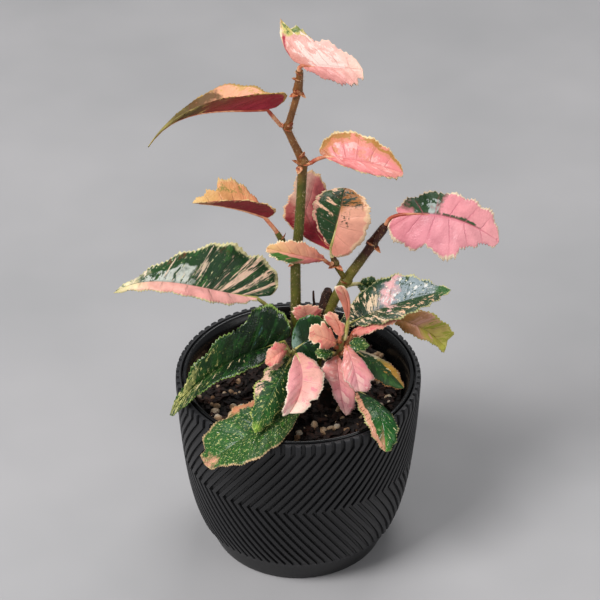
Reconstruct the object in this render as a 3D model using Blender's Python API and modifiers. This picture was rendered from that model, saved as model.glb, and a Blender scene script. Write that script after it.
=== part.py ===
"""Potted angel-wing begonia with pink, cream and green leaves.

The plant grows in bark mix in a thin glossy nursery pot, which hangs by its
rolled lip in a matt black cachepot with a herringbone of fine ribs. Lengths
are in millimetres and turned to metres as each mesh is made. The origin is
the centre of the cachepot's base, +Z is up and the front is towards -Y.
"""

import math
import random
from collections import namedtuple

import bmesh
import bpy
from mathutils import Matrix, Vector, noise

MM = 0.001

# Driving dimensions, in millimetres and degrees
GAP = 0.3
WELD = 0.01

CACHEPOT_HEIGHT = 111.0
CACHEPOT_RADIUS = 68.6
CACHEPOT_BASE_RADIUS = 48.2
CACHEPOT_WALL_INNER = 62.7
CACHEPOT_FLOOR = 5.0
FOOT_BAND_HEIGHT = 16.0
RIB_COUNT = 78
RIB_DEPTH = 1.4
RIB_TURN_HEIGHT = 105.0
CHEVRON_HEIGHT = 62.0
UPPER_RIB_TWIST = -27.0
LOWER_RIB_TWIST = 28.0

LEDGE_HEIGHT = 106.5
LIP_RADIUS = 64.7
LIP_HEIGHT = 4.5
LIP_WIDTH = 2.2
NURSERY_WALL = 1.1
NURSERY_TOP_RADIUS = 61.6
NURSERY_BASE_RADIUS = 42.5
NURSERY_STEPS = 32

SOIL_HEIGHT = 99.0
SOIL_COLUMNS = 24
STEM_DEPTH = 16.0

BLADE = 0.8
PETIOLE = 1.1
NOTCH_START = 0.08

scene_objects = list(bpy.data.objects)
for old in scene_objects:
    bpy.data.objects.remove(old, do_unlink=True)

plant = bpy.data.collections.new("potted_begonia")
bpy.context.scene.collection.children.link(plant)


# Shared helpers

def principled(name, colour, roughness, metallic=0.0):
    """A plain Principled material with the part's own colour."""
    material = bpy.data.materials.new(name)
    material.use_nodes = True
    shader = material.node_tree.nodes["Principled BSDF"]
    shader.inputs["Base Color"].default_value = (*colour, 1.0)
    shader.inputs["Roughness"].default_value = roughness
    shader.inputs["Metallic"].default_value = metallic
    return material


def add_object(name, mesh, material=None):
    """Link a new object for the mesh, with its material and smooth faces."""
    item = bpy.data.objects.new(name, mesh)
    plant.objects.link(item)
    if material is not None:
        mesh.materials.clear()
        mesh.materials.append(material)
        mesh.shade_smooth()
        mesh.set_sharp_from_angle(angle=math.radians(50))
    return item


def mesh_from(bm, name):
    """Turn a bmesh into mesh data and free it."""
    mesh = bpy.data.meshes.new(name)
    bm.to_mesh(mesh)
    bm.free()
    return mesh


def evaluated_mesh(item, name):
    """The object's mesh with its modifiers or bevel applied, welded."""
    bpy.context.view_layer.update()
    shown = item.evaluated_get(bpy.context.evaluated_depsgraph_get())
    mesh = bpy.data.meshes.new_from_object(shown)
    mesh.name = name
    bm = bmesh.new()
    bm.from_mesh(mesh)
    bmesh.ops.remove_doubles(bm, verts=bm.verts, dist=WELD * MM)
    bm.to_mesh(mesh)
    bm.free()
    return mesh


def joined(name, base, extras, operation="UNION"):
    """Join or cut the base object by the extras, and remove the extras."""
    tools = bpy.data.collections.new(name + "_tools")
    bpy.context.scene.collection.children.link(tools)
    for extra in extras:
        plant.objects.unlink(extra)
        tools.objects.link(extra)
        extra.hide_render = True
        extra.display_type = "WIRE"
    boolean = base.modifiers.new("join", "BOOLEAN")
    boolean.operand_type = "COLLECTION"
    boolean.collection = tools
    boolean.operation = operation
    boolean.solver = "EXACT"
    mesh = evaluated_mesh(base, name)
    for extra in extras:
        bpy.data.objects.remove(extra, do_unlink=True)
    bpy.data.collections.remove(tools)
    bpy.data.objects.remove(base, do_unlink=True)
    return mesh


def turned_grid(name, columns, rows):
    """A closed turned body from (radius, height, relief, twist) rows.

    Relief draws every second column in by its value, which makes ribs, and
    twist turns the row about the axis in degrees, which slants them.
    """
    bm = bmesh.new()
    bmesh.ops.create_grid(bm, x_segments=columns, y_segments=len(rows) - 1, size=1.0)
    for vert in bm.verts:
        column = round((vert.co.x + 1.0) / 2.0 * columns)
        row = round((vert.co.y + 1.0) / 2.0 * (len(rows) - 1))
        radius, height, relief, twist = rows[row]
        angle = math.radians(column * 360.0 / columns + twist)
        reach = radius - relief * (column % 2)
        vert.co = Vector((reach * math.sin(angle), -reach * math.cos(angle), height)) * MM
    bmesh.ops.remove_doubles(bm, verts=bm.verts, dist=WELD * MM)
    bmesh.ops.recalc_face_normals(bm, faces=bm.faces)
    return mesh_from(bm, name)


def tube(name, points, sides=2):
    """A tube through (x, y, z, radius) points, as a closed mesh object."""
    data = bpy.data.curves.new(name, "CURVE")
    data.dimensions = "3D"
    data.bevel_depth = MM
    data.bevel_resolution = sides
    data.use_fill_caps = True
    spline = data.splines.new("POLY")
    spline.points.add(len(points) - 1)
    for knot, (x, y, z, radius) in zip(spline.points, points):
        knot.co = (x * MM, y * MM, z * MM, 1.0)
        knot.radius = radius
    curve = bpy.data.objects.new(name, data)
    plant.objects.link(curve)
    mesh = evaluated_mesh(curve, name)
    bpy.data.objects.remove(curve, do_unlink=True)
    return add_object(name, mesh)


def bract(name, root, tip, width):
    """A small pointed scale leaf from root to tip, flattened."""
    root = Vector(root)
    tip = Vector(tip)
    length = (tip - root).length
    bm = bmesh.new()
    bmesh.ops.create_cone(
        bm, cap_ends=True, segments=6, radius1=width / 2, radius2=0.12, depth=length
    )
    turn = (tip - root).to_track_quat("Z", "Y").to_matrix().to_4x4()
    place = Matrix.Translation((root + tip) / 2) @ turn @ Matrix.Diagonal((1, 0.45, 1, 1))
    bmesh.ops.transform(bm, matrix=Matrix.Scale(MM, 4) @ place, verts=bm.verts)
    return add_object(name, mesh_from(bm, name))


# Cachepot: matt black ceramic cup, its ribs slant one way above the chevron
# line and the other way below it, and a plain band stands at the foot.

def cachepot_rows():
    """The cup's rows from the inside floor over the rim and down the ribs."""
    inner = [
        (0.0, CACHEPOT_FLOOR, 0.0, 0.0),
        (46.0, CACHEPOT_FLOOR, 0.0, 0.0),
        (CACHEPOT_WALL_INNER, LEDGE_HEIGHT, 0.0, 0.0),
        (LIP_RADIUS + 0.6, LEDGE_HEIGHT, 0.0, 0.0),
    ]
    rim = [
        (66.0, CACHEPOT_HEIGHT, 0.0, 0.0),
        (CACHEPOT_RADIUS - 0.4, CACHEPOT_HEIGHT - 0.4, RIB_DEPTH * 0.9, 0.0),
        (CACHEPOT_RADIUS, RIB_TURN_HEIGHT, RIB_DEPTH, 0.0),
    ]
    side = [(67.6, 84.0), (65.8, CHEVRON_HEIGHT), (63.6, 44.0), (60.4, 28.0)]
    side += [(56.8, FOOT_BAND_HEIGHT + 0.7)]
    ribbed = []
    for radius, height in side:
        if height >= CHEVRON_HEIGHT:
            part = (RIB_TURN_HEIGHT - height) / (RIB_TURN_HEIGHT - CHEVRON_HEIGHT)
            twist = UPPER_RIB_TWIST * part
        else:
            part = (CHEVRON_HEIGHT - height) / (CHEVRON_HEIGHT - FOOT_BAND_HEIGHT)
            twist = UPPER_RIB_TWIST + LOWER_RIB_TWIST * part
        ribbed.append((radius, height, RIB_DEPTH, twist))
    twist = ribbed[-1][3]
    foot = [
        (55.2, FOOT_BAND_HEIGHT, 0.0, twist),
        (CACHEPOT_BASE_RADIUS, 0.0, 0.0, twist),
        (0.0, 0.0, 0.0, twist),
    ]
    return inner + rim + ribbed + foot


matt_black = principled("cachepot_matt_black", (0.018, 0.018, 0.020), 0.6)
add_object("cachepot", turned_grid("cachepot", RIB_COUNT * 2, cachepot_rows()), matt_black)


# Nursery pot: thin glossy black cup, turned, which hangs by its rolled lip.

NURSERY_FLOOR = CACHEPOT_FLOOR + 3.0
LIP_LOW = LEDGE_HEIGHT + GAP


def nursery_radius(height):
    """Outer radius of the nursery pot's straight wall at a height."""
    share = (height - NURSERY_FLOOR) / (LIP_LOW - NURSERY_FLOOR)
    return NURSERY_BASE_RADIUS + (NURSERY_TOP_RADIUS - NURSERY_BASE_RADIUS) * share


def nursery_profile():
    """Half section, up the inside, over the lip and down the outside."""
    lip_top = LIP_LOW + LIP_HEIGHT
    return [
        (0.0, NURSERY_FLOOR + 1.4),
        (nursery_radius(NURSERY_FLOOR + 1.4) - NURSERY_WALL, NURSERY_FLOOR + 1.4),
        (nursery_radius(LIP_LOW) - NURSERY_WALL, LIP_LOW),
        (LIP_RADIUS - LIP_WIDTH, lip_top - 1.0),
        (LIP_RADIUS - LIP_WIDTH * 0.6, lip_top),
        (LIP_RADIUS - LIP_WIDTH * 0.25, lip_top),
        (LIP_RADIUS, lip_top - 0.8),
        (LIP_RADIUS, LIP_LOW),
        (NURSERY_TOP_RADIUS, LIP_LOW),
        (NURSERY_BASE_RADIUS, NURSERY_FLOOR),
        (0.0, NURSERY_FLOOR),
    ]


def turned(name, profile, steps):
    """A solid turned from an open half section, as mesh data."""
    bm = bmesh.new()
    verts = [bm.verts.new((x * MM, 0.0, z * MM)) for x, z in profile]
    for first, second in zip(verts, verts[1:]):
        bm.edges.new((first, second))
    guide = add_object(name, mesh_from(bm, name))
    screw = guide.modifiers.new("turn", "SCREW")
    screw.steps = steps
    screw.render_steps = steps
    screw.use_merge_vertices = True
    screw.merge_threshold = WELD * MM
    mesh = evaluated_mesh(guide, name)
    bpy.data.objects.remove(guide, do_unlink=True)
    return mesh


glossy_black = principled("nursery_pot_gloss_black", (0.012, 0.012, 0.014), 0.25)
nursery_mesh = turned("nursery_pot", nursery_profile(), NURSERY_STEPS)
add_object("nursery_pot", nursery_mesh, glossy_black)


# Canes and shoots, each point (x, y, z, radius). They stand in plain holes.

STEM_FOOT = SOIL_HEIGHT - STEM_DEPTH
MAIN_CANE = [
    (-0.5, 3, STEM_FOOT, 3.0), (-0.7, 3, 108, 3.0), (-1.3, 3, 150, 2.9), (-1.5, 3, 181, 2.8),
    (-1.3, 3, 184, 3.3), (-1.0, 3, 187, 2.8), (0.4, 3, 205, 2.7), (2.2, 3, 240, 2.5),
    (2.5, 3, 246, 3.1), (1.0, 3, 250, 2.3), (-4.6, 2, 264, 2.0), (-5.6, 2, 268, 2.6),
    (-4.6, 1, 272, 1.9), (-0.8, 1, 287, 1.9), (-0.2, 1, 291, 2.5), (0.8, 0, 300, 1.9),
    (0.6, 0, 303, 2.0),
]
LEFT_SHOOT = [(-1.3, 2, 184, 1.5), (-6.4, -1, 195, 1.4), (-8.8, -2, 200, 1.8), (-11.4, -2, 205, 1.4)]
RIGHT_CANE = [
    (8.5, 2, STEM_FOOT, 2.8), (9.5, 2, 109, 2.8), (13, 3, 134, 2.8), (18.6, 5, 153, 2.7),
    (25.0, 6, 167, 2.9), (26.4, 6, 169, 3.3), (28, 6, 172, 2.8), (38.5, 5, 190, 2.6),
    (40, 5, 193, 3.2), (41.5, 5, 196, 2.7), (45.5, 4, 203, 2.5), (47.0, 4, 206, 1.7),
]
FAN_SHOOT = [(26, 6, 169, 1.7), (21.8, 3, 178, 1.5), (20.2, 3, 182, 1.9), (18.6, 3, 186, 1.4)]
FRONT_SHOOT = [(-2, -5, STEM_FOOT, 1.7), (-2, -6, 106, 1.6), (-2, -7, 126, 1.5), (-2, -7, 131, 1.3)]
SIDE_SHOOT = [
    (19, -5, STEM_FOOT, 1.8), (20, -7, 108, 1.7), (22, -9, 128, 1.6), (23.5, -8.5, 136, 1.5),
    (25, -6.5, 141, 1.3),
]
OLD_STUB = [(12.4, 5, 139, 2.2), (13.6, 7, 147, 3.0), (15.8, 8, 157, 3.0), (16.4, 8, 161, 2.0)]
DEAD_TWIG = [(13, 6.5, 141, 0.9), (9.9, 8, 146, 0.8), (8.6, 8, 153, 0.7), (8.3, 8, 160, 0.5)]


def stem(name, material, routes, bracts, sides=2):
    """A cane with its side shoots and bracts grown together."""
    tubes = []
    for index, route in enumerate(routes):
        tubes.append(tube(f"{name}_route_{index}", route, sides if index == 0 else 1))
    for index, (root, tip, width) in enumerate(bracts):
        tubes.append(bract(f"{name}_bract_{index}", root, tip, width))
    if len(tubes) == 1:
        mesh = tubes[0].data
        bpy.data.objects.remove(tubes[0], do_unlink=True)
    else:
        mesh = joined(name, tubes[0], tubes[1:])
    mesh.name = name
    return add_object(name, mesh, material)


cane_green = principled("cane_olive", (0.13, 0.13, 0.035), 0.5)
cane_red = principled("cane_red_brown", (0.20, 0.10, 0.035), 0.5)
stem("cane_main", cane_green, [MAIN_CANE, LEFT_SHOOT], [
    ((1.5, 1.5, 246), (-5, -1, 250), 3.6),
    ((1.5, 2.5, 249), (4.0, 0.0, 256), 3.4),
    ((-5, 1, 268), (-2.5, -3, 275), 3.5),
    ((-0.5, 0, 289), (-5, -2, 288), 3.6),
    ((0, 0.5, 288), (-1, -4, 295), 3.8),
    ((-1.5, 2, 184), (-5, 0, 181), 2.8),
    ((-9, -2, 200), (-6, -3, 206), 2.8),
])
stem("cane_right", cane_red, [RIGHT_CANE, FAN_SHOOT, OLD_STUB, DEAD_TWIG], [
    ((41, 3.5, 193), (36, 0, 199), 3.5),
    ((41, 4, 193), (45, 1, 189), 3.0),
    ((20.5, 2.5, 181), (24, -0.5, 178), 3.0),
])
stem("shoot_front", cane_green, [FRONT_SHOOT], [])
stem("shoot_side", cane_green, [SIDE_SHOOT], [])


# Soil: bark mix heaped a little round the canes, with grains of pumice and
# chips of bark pressed into it, and a plain hole for each stem.

def soil_height(x, y):
    """Height of the bare mix at a place."""
    swell = noise.noise(Vector((x * 0.07, y * 0.07, 3.0))) * 1.6
    mound = 2.2 * math.exp(-(x * x + y * y) / 900.0)
    return SOIL_HEIGHT + swell + mound


def soil_body():
    """The plug of mix that fills the nursery pot."""
    base = NURSERY_FLOOR + 1.4 + GAP
    loose = NURSERY_WALL + GAP + 0.3
    rows = [(ring, SOIL_HEIGHT, 0.0, 0.0) for ring in [0.0, 12.0, 24.0, 36.0, 48.0]]
    rows += [(nursery_radius(SOIL_HEIGHT) - loose - 0.4, SOIL_HEIGHT, 0.0, 0.0)]
    rows += [(nursery_radius(94.0) - loose, 94.0, 0.0, 0.0)]
    rows += [(nursery_radius(base) - loose, base, 0.0, 0.0), (0.0, base, 0.0, 0.0)]
    mesh = turned_grid("soil_body", SOIL_COLUMNS, rows)
    for vert in mesh.vertices:
        if vert.co.z > 98.0 * MM:
            height = soil_height(vert.co.x / MM, vert.co.y / MM)
            vert.co.z = height * MM
    return add_object("soil_body", mesh)


# Pumice grains that show, each (x, y, radius)
GRAINS = [
    (-46, -22, 2.8), (-37, -26, 2.6), (-44, -29, 2.9), (-36, -19, 2.7), (-47, 27, 2.2),
    (-51, 20, 2.4), (-45, 31, 2.0), (14, -40, 2.9), (18, -38, 2.6), (5, -53, 2.4),
    (43, 26, 2.8), (46, 20, 2.6), (51, 14, 2.4), (45, 31, 2.2), (40, 18, 2.4),
    (50, -10, 2.4), (-20, 44, 2.4), (12, 50, 2.2),
]
CHIP_COUNT = 9
TALL_CHIP_AT = (15.0, -19.0, 106.0)
TALL_CHIP_SIZE = (6.5, 4.5, 22.0)


def soil_bits():
    """Pumice grains and bark chips as small closed bodies."""
    rng = random.Random(11)
    bits = []
    for index, (x, y, radius) in enumerate(GRAINS):
        bm = bmesh.new()
        bmesh.ops.create_icosphere(bm, subdivisions=1, radius=radius)
        turn = Matrix.Rotation(rng.uniform(0, 3), 4, (0.4, rng.uniform(-1, 1), 1))
        squash = Matrix.Diagonal((1.15, rng.uniform(0.75, 0.95), 0.8, 1))
        place = Matrix.Translation((x, y, soil_height(x, y) + radius * 0.25)) @ turn @ squash
        bmesh.ops.transform(bm, matrix=Matrix.Scale(MM, 4) @ place, verts=bm.verts)
        bits.append(add_object(f"grain_{index}", mesh_from(bm, "grain")))
    stems = [(0, 3), (9, 2), (-2, -5), (19, -5)]
    bm = bmesh.new()
    bmesh.ops.create_cube(bm, size=1.0)
    lean = Matrix.Rotation(0.25, 4, (1, 0.4, 0))
    place = Matrix.Translation(TALL_CHIP_AT) @ lean @ Matrix.Diagonal((*TALL_CHIP_SIZE, 1))
    bmesh.ops.transform(bm, matrix=Matrix.Scale(MM, 4) @ place, verts=bm.verts)
    bits.append(add_object("tall_chip", mesh_from(bm, "tall_chip")))
    while len(bits) < len(GRAINS) + 1 + CHIP_COUNT:
        angle = rng.uniform(0, math.tau)
        reach = 52.0 * math.sqrt(rng.random())
        x = reach * math.cos(angle)
        y = reach * math.sin(angle)
        near_stem = min(math.hypot(x - sx, y - sy) for sx, sy in stems)
        near_grain = min(math.hypot(x - gx, y - gy) for gx, gy, _ in GRAINS)
        if near_stem < 13.0 or near_grain < 8.0:
            continue
        bm = bmesh.new()
        bmesh.ops.create_cube(bm, size=1.0)
        size = Matrix.Diagonal((rng.uniform(6, 11), rng.uniform(3.5, 5), 2.6, 1))
        lean = Matrix.Rotation(rng.uniform(-0.3, 0.3), 4, "Y")
        turn = Matrix.Rotation(rng.uniform(0, math.tau), 4, "Z")
        place = Matrix.Translation((x, y, soil_height(x, y) + 0.4)) @ turn @ lean @ size
        bmesh.ops.transform(bm, matrix=Matrix.Scale(MM, 4) @ place, verts=bm.verts)
        bits.append(add_object(f"chip_{len(bits)}", mesh_from(bm, "chip")))
    return bits


def stem_holes():
    """Cutters for the holes that the stems stand in."""
    holes = []
    for index, route in enumerate([MAIN_CANE, RIGHT_CANE, FRONT_SHOOT, SIDE_SHOOT]):
        x, y, z, radius = route[0]
        below = (x, y, z - GAP, radius + GAP)
        lower = (x, y, z, radius + GAP)
        points = [below, lower]
        next_x, next_y, next_z, next_radius = route[1]
        points.append((next_x, next_y, next_z, next_radius + GAP))
        holes.append(tube(f"hole_{index}", points, 3))
    return holes


soil_dark = principled("bark_mix", (0.035, 0.022, 0.016), 0.9)
heaped = add_object("heaped", joined("heaped", soil_body(), soil_bits()))
add_object("soil", joined("soil", heaped, stem_holes(), "DIFFERENCE"), soil_dark)


# Leaves. A leaf is a midrib through three or four points and two half blades.
# Each half reaches a widest point beside the share "at" of the midrib, runs
# back behind the stalk by the share "lobe", and is fuller at its tip as
# "full" grows. Left is the left hand, looking from stalk to tip from above.

Half = namedtuple("Half", "reach at lobe full")


def rib_point(rib, share):
    """The midrib's point at a share of its length, straight behind its base."""
    last = len(rib) - 1

    def through(t):
        total = Vector((0, 0, 0))
        for i, point in enumerate(rib):
            weight = 1.0
            for j in range(len(rib)):
                if j != i:
                    weight *= (t * last - j) / (i - j)
            total += Vector(point) * weight
        return total

    if share >= 0.0:
        return through(share)
    slope = (through(0.001) - through(0.0)) / 0.001
    return through(0.0) + slope * share


def bezier(a, b, c, d, t):
    """A number on a cubic Bezier curve."""
    u = 1.0 - t
    return a * u ** 3 + 3 * b * u * u * t + 3 * c * u * t * t + d * t ** 3


def half_outline(half, s):
    """Share of the length and of the width at a share s along the edge."""
    if s <= 0.5:
        t = s * 2.0
        back = -1.33 * half.lobe
        along = bezier(0.0, back, back + 0.6 * max(half.at, 0.0), half.at, t)
        return along, bezier(0.0, 0.05, 1.0, 1.0, t)
    t = s * 2.0 - 1.0
    shoulder = half.at + (0.40 + 0.25 * half.full) * (1.0 - half.at)
    along = bezier(half.at, shoulder, 0.80 + 0.18 * half.full, 1.0, t)
    return along, bezier(1.0, 1.0, 0.30 + 0.65 * half.full, 0.0, t)


def blade(name, rib, left, right, rows, columns, tooth, bow, wave):
    """The thin blade as a closed mesh object."""
    bm = bmesh.new()
    bmesh.ops.create_grid(bm, x_segments=rows, y_segments=2 * columns, size=1.0)
    forward = rib_point(rib, 1.0) - rib_point(rib, 0.0)
    for vert in bm.verts:
        row = round((vert.co.x + 1.0) / 2.0 * rows)
        s = NOTCH_START + (1.0 - NOTCH_START) * row / rows
        c = round(vert.co.y * columns) / columns
        half = left if c > 0 else right
        across = Vector(half.reach) - rib_point(rib, half.at)
        top = forward.cross(across) * (1.0 if c > 0 else -1.0)
        top.normalize()
        along, width = half_outline(half, s)
        root = s ** 1.5
        share = abs(c)
        place = rib_point(rib, root + (along - root) * share) + across * (width * share)
        if share == 1.0 and 0 < row < rows:
            side = across.normalized() + forward.normalized() * (0.8 * (s - 0.35))
            place += side * (tooth * (1.0 if row % 2 else -1.0))
        lift = bow * 4.0 * share * (1.0 - share) * width
        ripple = wave * math.sin(math.tau * (1.7 * s + 0.27 * half.lobe + 0.3 * half.at))
        place += top * (lift + ripple * share * share * math.sin(math.pi * s))
        vert.co = place * MM
    bmesh.ops.remove_doubles(bm, verts=bm.verts, dist=WELD * MM)
    bmesh.ops.triangulate(bm, faces=bm.faces, quad_method="SHORT_EDGE")
    item = add_object(name, mesh_from(bm, name))
    shell = item.modifiers.new("thickness", "SOLIDIFY")
    shell.thickness = BLADE * MM
    shell.offset = 0.0
    mesh = evaluated_mesh(item, name)
    bpy.data.objects.remove(item, do_unlink=True)
    return add_object(name, mesh)


def leave_stem(route, height, aim):
    """A point just off a stem's skin at a height, facing aim, and the way out."""
    if height >= route[-1][2]:
        end = Vector(route[-1][:3])
        way = (end - Vector(route[-2][:3])).normalized()
        return end + way * (GAP + 0.1), way
    for low, high in zip(route, route[1:]):
        if low[2] <= height <= high[2]:
            share = (height - low[2]) / (high[2] - low[2])
            axis = (Vector(high[:3]) - Vector(low[:3])).normalized()
            centre = Vector(low[:3]).lerp(Vector(high[:3]), share)
            radius = max(low[3], high[3])
            break
    way = aim - centre
    way -= axis * way.dot(axis)
    way.normalize()
    return centre + way * (radius + GAP + 0.1), way


def leaf(name, material, rib, left, right, grows, bend, rows=12, columns=2, tooth=0.8,
         bow=0.8, wave=1.0):
    """One leaf, blade and stalk together, that grows from (stem, height)."""
    body = blade(name + "_blade", rib, left, right, rows, columns, tooth, bow, wave)
    inner = rib_point(rib, 0.0)
    bend = Vector(bend)
    start, way = leave_stem(*grows, bend)
    points = [(*start, PETIOLE)]
    start = start + way * 1.0
    for step in range(2):
        t = step / 2
        place = start * (1 - t) ** 2 + bend * (2 * t * (1 - t)) + inner * t * t
        points.append((*place, PETIOLE))
    points.append((*inner, PETIOLE * 0.9))
    length = (rib_point(rib, 1.0) - inner).length
    points.append((*rib_point(rib, 3.0 / length), 0.55))
    petiole = tube(name + "_petiole", points, 1)
    return add_object(name, joined(name, body, [petiole]), material)


pink = principled("leaf_pink", (0.80, 0.36, 0.33), 0.45)
peach = principled("leaf_peach", (0.78, 0.40, 0.22), 0.45)
green = principled("leaf_green", (0.05, 0.15, 0.04), 0.4)
speckled = principled("leaf_speckled", (0.20, 0.27, 0.12), 0.4)

# Leaves of the main cane, from the top down
leaf("leaf_top", pink, [(2, 0, 306), (18, -2, 306), (33, -6, 307)],
     Half((-6, 13, 323), -0.12, 0.30, 0.0), Half((24, -8, 300), 0.66, 0.03, 0.4),
     grows=(MAIN_CANE, 304), bend=(0.8, 0, 305), wave=1.2)
leaf("leaf_upper_left", peach, [(-16, -2, 281), (-38, -3, 281), (-60, -4, 277), (-78, -8, 262)],
     Half((-12, -12, 299), 0.03, 0.12, -0.25), Half((-31, 11, 288), 0.32, 0.10, 0.15),
     grows=(MAIN_CANE, 269), bend=(-11, 0, 273), rows=14, columns=3)
leaf("leaf_upper_right", pink, [(14, 2, 250), (33, -4, 251), (55, -10, 247)],
     Half((25, 10, 261), 0.30, 0.14, 0.75), Half((40, -12, 247), 0.62, 0.03, 0.6),
     grows=(MAIN_CANE, 246), bend=(9, 3, 248), rows=14)
leaf("leaf_left", peach, [(-18, -1, 214), (-35, -4, 222), (-56, -7, 227)],
     Half((-13, -10, 228), 0.0, 0.10, -0.1), Half((-33, 10, 228), 0.40, 0.05, 0.15),
     grows=(LEFT_SHOOT, 206), bend=(-14, -3, 210), rows=14)
leaf("leaf_low_left", speckled, [(-23, 2.5, 159.3), (-51, -5, 171), (-77, -9, 178), (-100, -10, 171)],
     Half((-50, -14, 169), 0.40, 0.03, 0.2), Half((-37, 12, 187.5), 0.20, 0.18, -0.45),
     grows=(MAIN_CANE, 141), bend=(-12, 7.5, 146), rows=16, columns=3, tooth=1.1)

# Leaves of the right cane and of its side shoot
leaf("leaf_right", pink, [(57, 2, 214), (83, -3, 215), (107, -9, 207)],
     Half((81, 10, 222), 0.48, 0.17, 0.8), Half((74, -12, 198), 0.38, 0.24, 0.25),
     grows=(RIGHT_CANE, 207), bend=(49, 4, 212), rows=14, columns=3, tooth=1.1, wave=1.4)
leaf("leaf_back", peach, [(18, 7, 188), (6, 13, 203), (-1, 16, 229)],
     Half((-7, 10, 205), 0.36, 0.10, -0.2), Half((15, 24, 216), 0.60, 0.10, 0.7),
     grows=(FAN_SHOOT, 182), bend=(19, 7.5, 184), rows=14)
leaf("leaf_fan", speckled, [(18, 0, 196), (22, 2, 214), (25, 8, 227)],
     Half((8, 6, 217), 0.65, 0.05, 0.85), Half((38, -3, 210), 0.36, 0.28, 0.6),
     grows=(FAN_SHOOT, 187), bend=(18, 2, 191), rows=14)
leaf("leaf_crossing", peach, [(14, -3, 188), (0, -9, 195), (-17, -11, 201)],
     Half((-7, -14, 194), 0.6, 0.03, 0.6), Half((1, -5, 201), 0.5, 0.04, 0.5),
     grows=(FAN_SHOOT, 183.5), bend=(16, -1, 184.5), rows=12)
leaf("leaf_behind", speckled, [(34, 18, 158), (41, 18, 154), (48, 16, 148)],
     Half((42, 22, 159), 0.5, 0.05, 0.4), Half((36, 14, 155), 0.5, 0.05, 0.4),
     grows=(RIGHT_CANE, 161), bend=(27, 15, 160), rows=7)
leaf("leaf_drooping", peach, [(53, 8, 140), (67, 5, 138), (82, 2, 126)],
     Half((73, 9, 145), 0.5, 0.03, 0.95), Half((65, 0, 135), 0.45, 0.05, 0.5),
     grows=(RIGHT_CANE, 128), bend=(36, 8, 130), rows=10)

# Leaves of the front shoot, from the top down
leaf("leaf_dark", green, [(-8, -6, 136), (-29, -12, 131), (-51, -22, 123), (-71, -26, 100)],
     Half((-29, -25, 130), 0.35, 0.04, 0.55), Half((-22, -1.5, 154), 0.18, 0.12, 0.1),
     grows=(FRONT_SHOOT, 129), bend=(-6, -6, 131), rows=14, columns=3, tooth=1.2)
leaf("leaf_round", green, [(-1, -11, 135), (7, -10, 141), (17, -9, 145)],
     Half((2, -6, 152), 0.3, 0.22, 0.6), Half((10, -16, 129), 0.35, 0.10, 0.6),
     grows=(FRONT_SHOOT, 132), bend=(-2, -8, 133), rows=12)
leaf("leaf_curled", pink, [(6, -3.5, 143), (5, -2, 149), (3, -2, 157)],
     Half((-3, -3, 153), 0.5, 0.05, 0.5), Half((13, 1, 151.5), 0.5, 0.05, 0.5),
     grows=(FRONT_SHOOT, 124), bend=(5, -5, 130), rows=10)
leaf("leaf_small", pink, [(-6.5, -12, 135.5), (-11, -20, 137.6), (-18, -23, 133.6)],
     Half((-11, -25, 134.6), 0.5, 0.08, 0.6), Half((-13, -16, 141.6), 0.5, 0.08, 0.6),
     grows=(FRONT_SHOOT, 126), bend=(-7, -9.5, 130), rows=7)
leaf("leaf_front", pink, [(-1, -17, 134.9), (2, -35, 128.7), (-5, -54, 122.7)],
     Half((13, -32, 130.7), 0.45, 0.08, 0.85), Half((-7, -46, 131.6), 0.5, 0.05, 0.8),
     grows=(FRONT_SHOOT, 120), bend=(0, -16, 124), rows=12)
leaf("leaf_hanging", green, [(-4, -13, 129), (-13, -39, 128.6), (-23, -70, 122)],
     Half((-5, -37.5, 122.6), 0.5, 0.05, 0.5), Half((-21, -33, 130), 0.42, 0.10, 0.3),
     grows=(FRONT_SHOOT, 117), bend=(-4, -12, 122), rows=14)
leaf("leaf_spilling", speckled, [(3, -30, 111), (-23, -62, 117), (-50, -70, 100)],
     Half((-16, -76.5, 114.3), 0.4, 0.02, 0.3), Half((-30, -44, 120.5), 0.48, 0.02, 0.8),
     grows=(FRONT_SHOOT, 109), bend=(0, -18, 112), rows=14, columns=3)

# Leaves of the side shoot, from the top down
leaf("leaf_low_right", speckled, [(27, -4.5, 146), (52, -5, 160), (83, -4, 169)],
     Half((46, 10, 167), 0.36, 0.16, 0.1), Half((57, -14, 158), 0.50, 0.04, 0.3),
     grows=(SIDE_SHOOT, 142), bend=(26, -5.5, 144), rows=16, tooth=1.0)
leaf("leaf_spoon", pink, [(27, -8, 150), (27, -8, 164), (23, -10, 176)],
     Half((20, -10, 173), 0.8, 0.0, 0.8), Half((26.5, -10, 173), 0.8, 0.0, 0.8),
     grows=(SIDE_SHOOT, 139.5), bend=(26.5, -8.5, 144), rows=8, tooth=0.0, wave=0.0)
leaf("leaf_flag_back", peach, [(23, -11, 143), (22, -8, 149), (17, -6, 156)],
     Half((15, -8, 152), 0.6, 0.05, 0.6), Half((24.5, -8, 149.5), 0.5, 0.05, 0.5),
     grows=(SIDE_SHOOT, 137.5), bend=(22, -11.5, 138.5), rows=7)
leaf("leaf_narrow", peach, [(30, -8, 143.5), (40, -9, 149), (54, -10, 153)],
     Half((41, -6, 151), 0.55, 0.05, 0.5), Half((38, -13, 146), 0.45, 0.05, 0.4),
     grows=(SIDE_SHOOT, 136), bend=(28.5, -7, 138), rows=10)
leaf("leaf_flag", peach, [(20, -14.5, 140.5), (15, -16, 145), (6, -17, 149)],
     Half((13, -21, 143), 0.5, 0.06, 0.5), Half((15, -11, 151), 0.45, 0.10, 0.6),
     grows=(SIDE_SHOOT, 134), bend=(19, -11, 137), rows=10)
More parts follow.
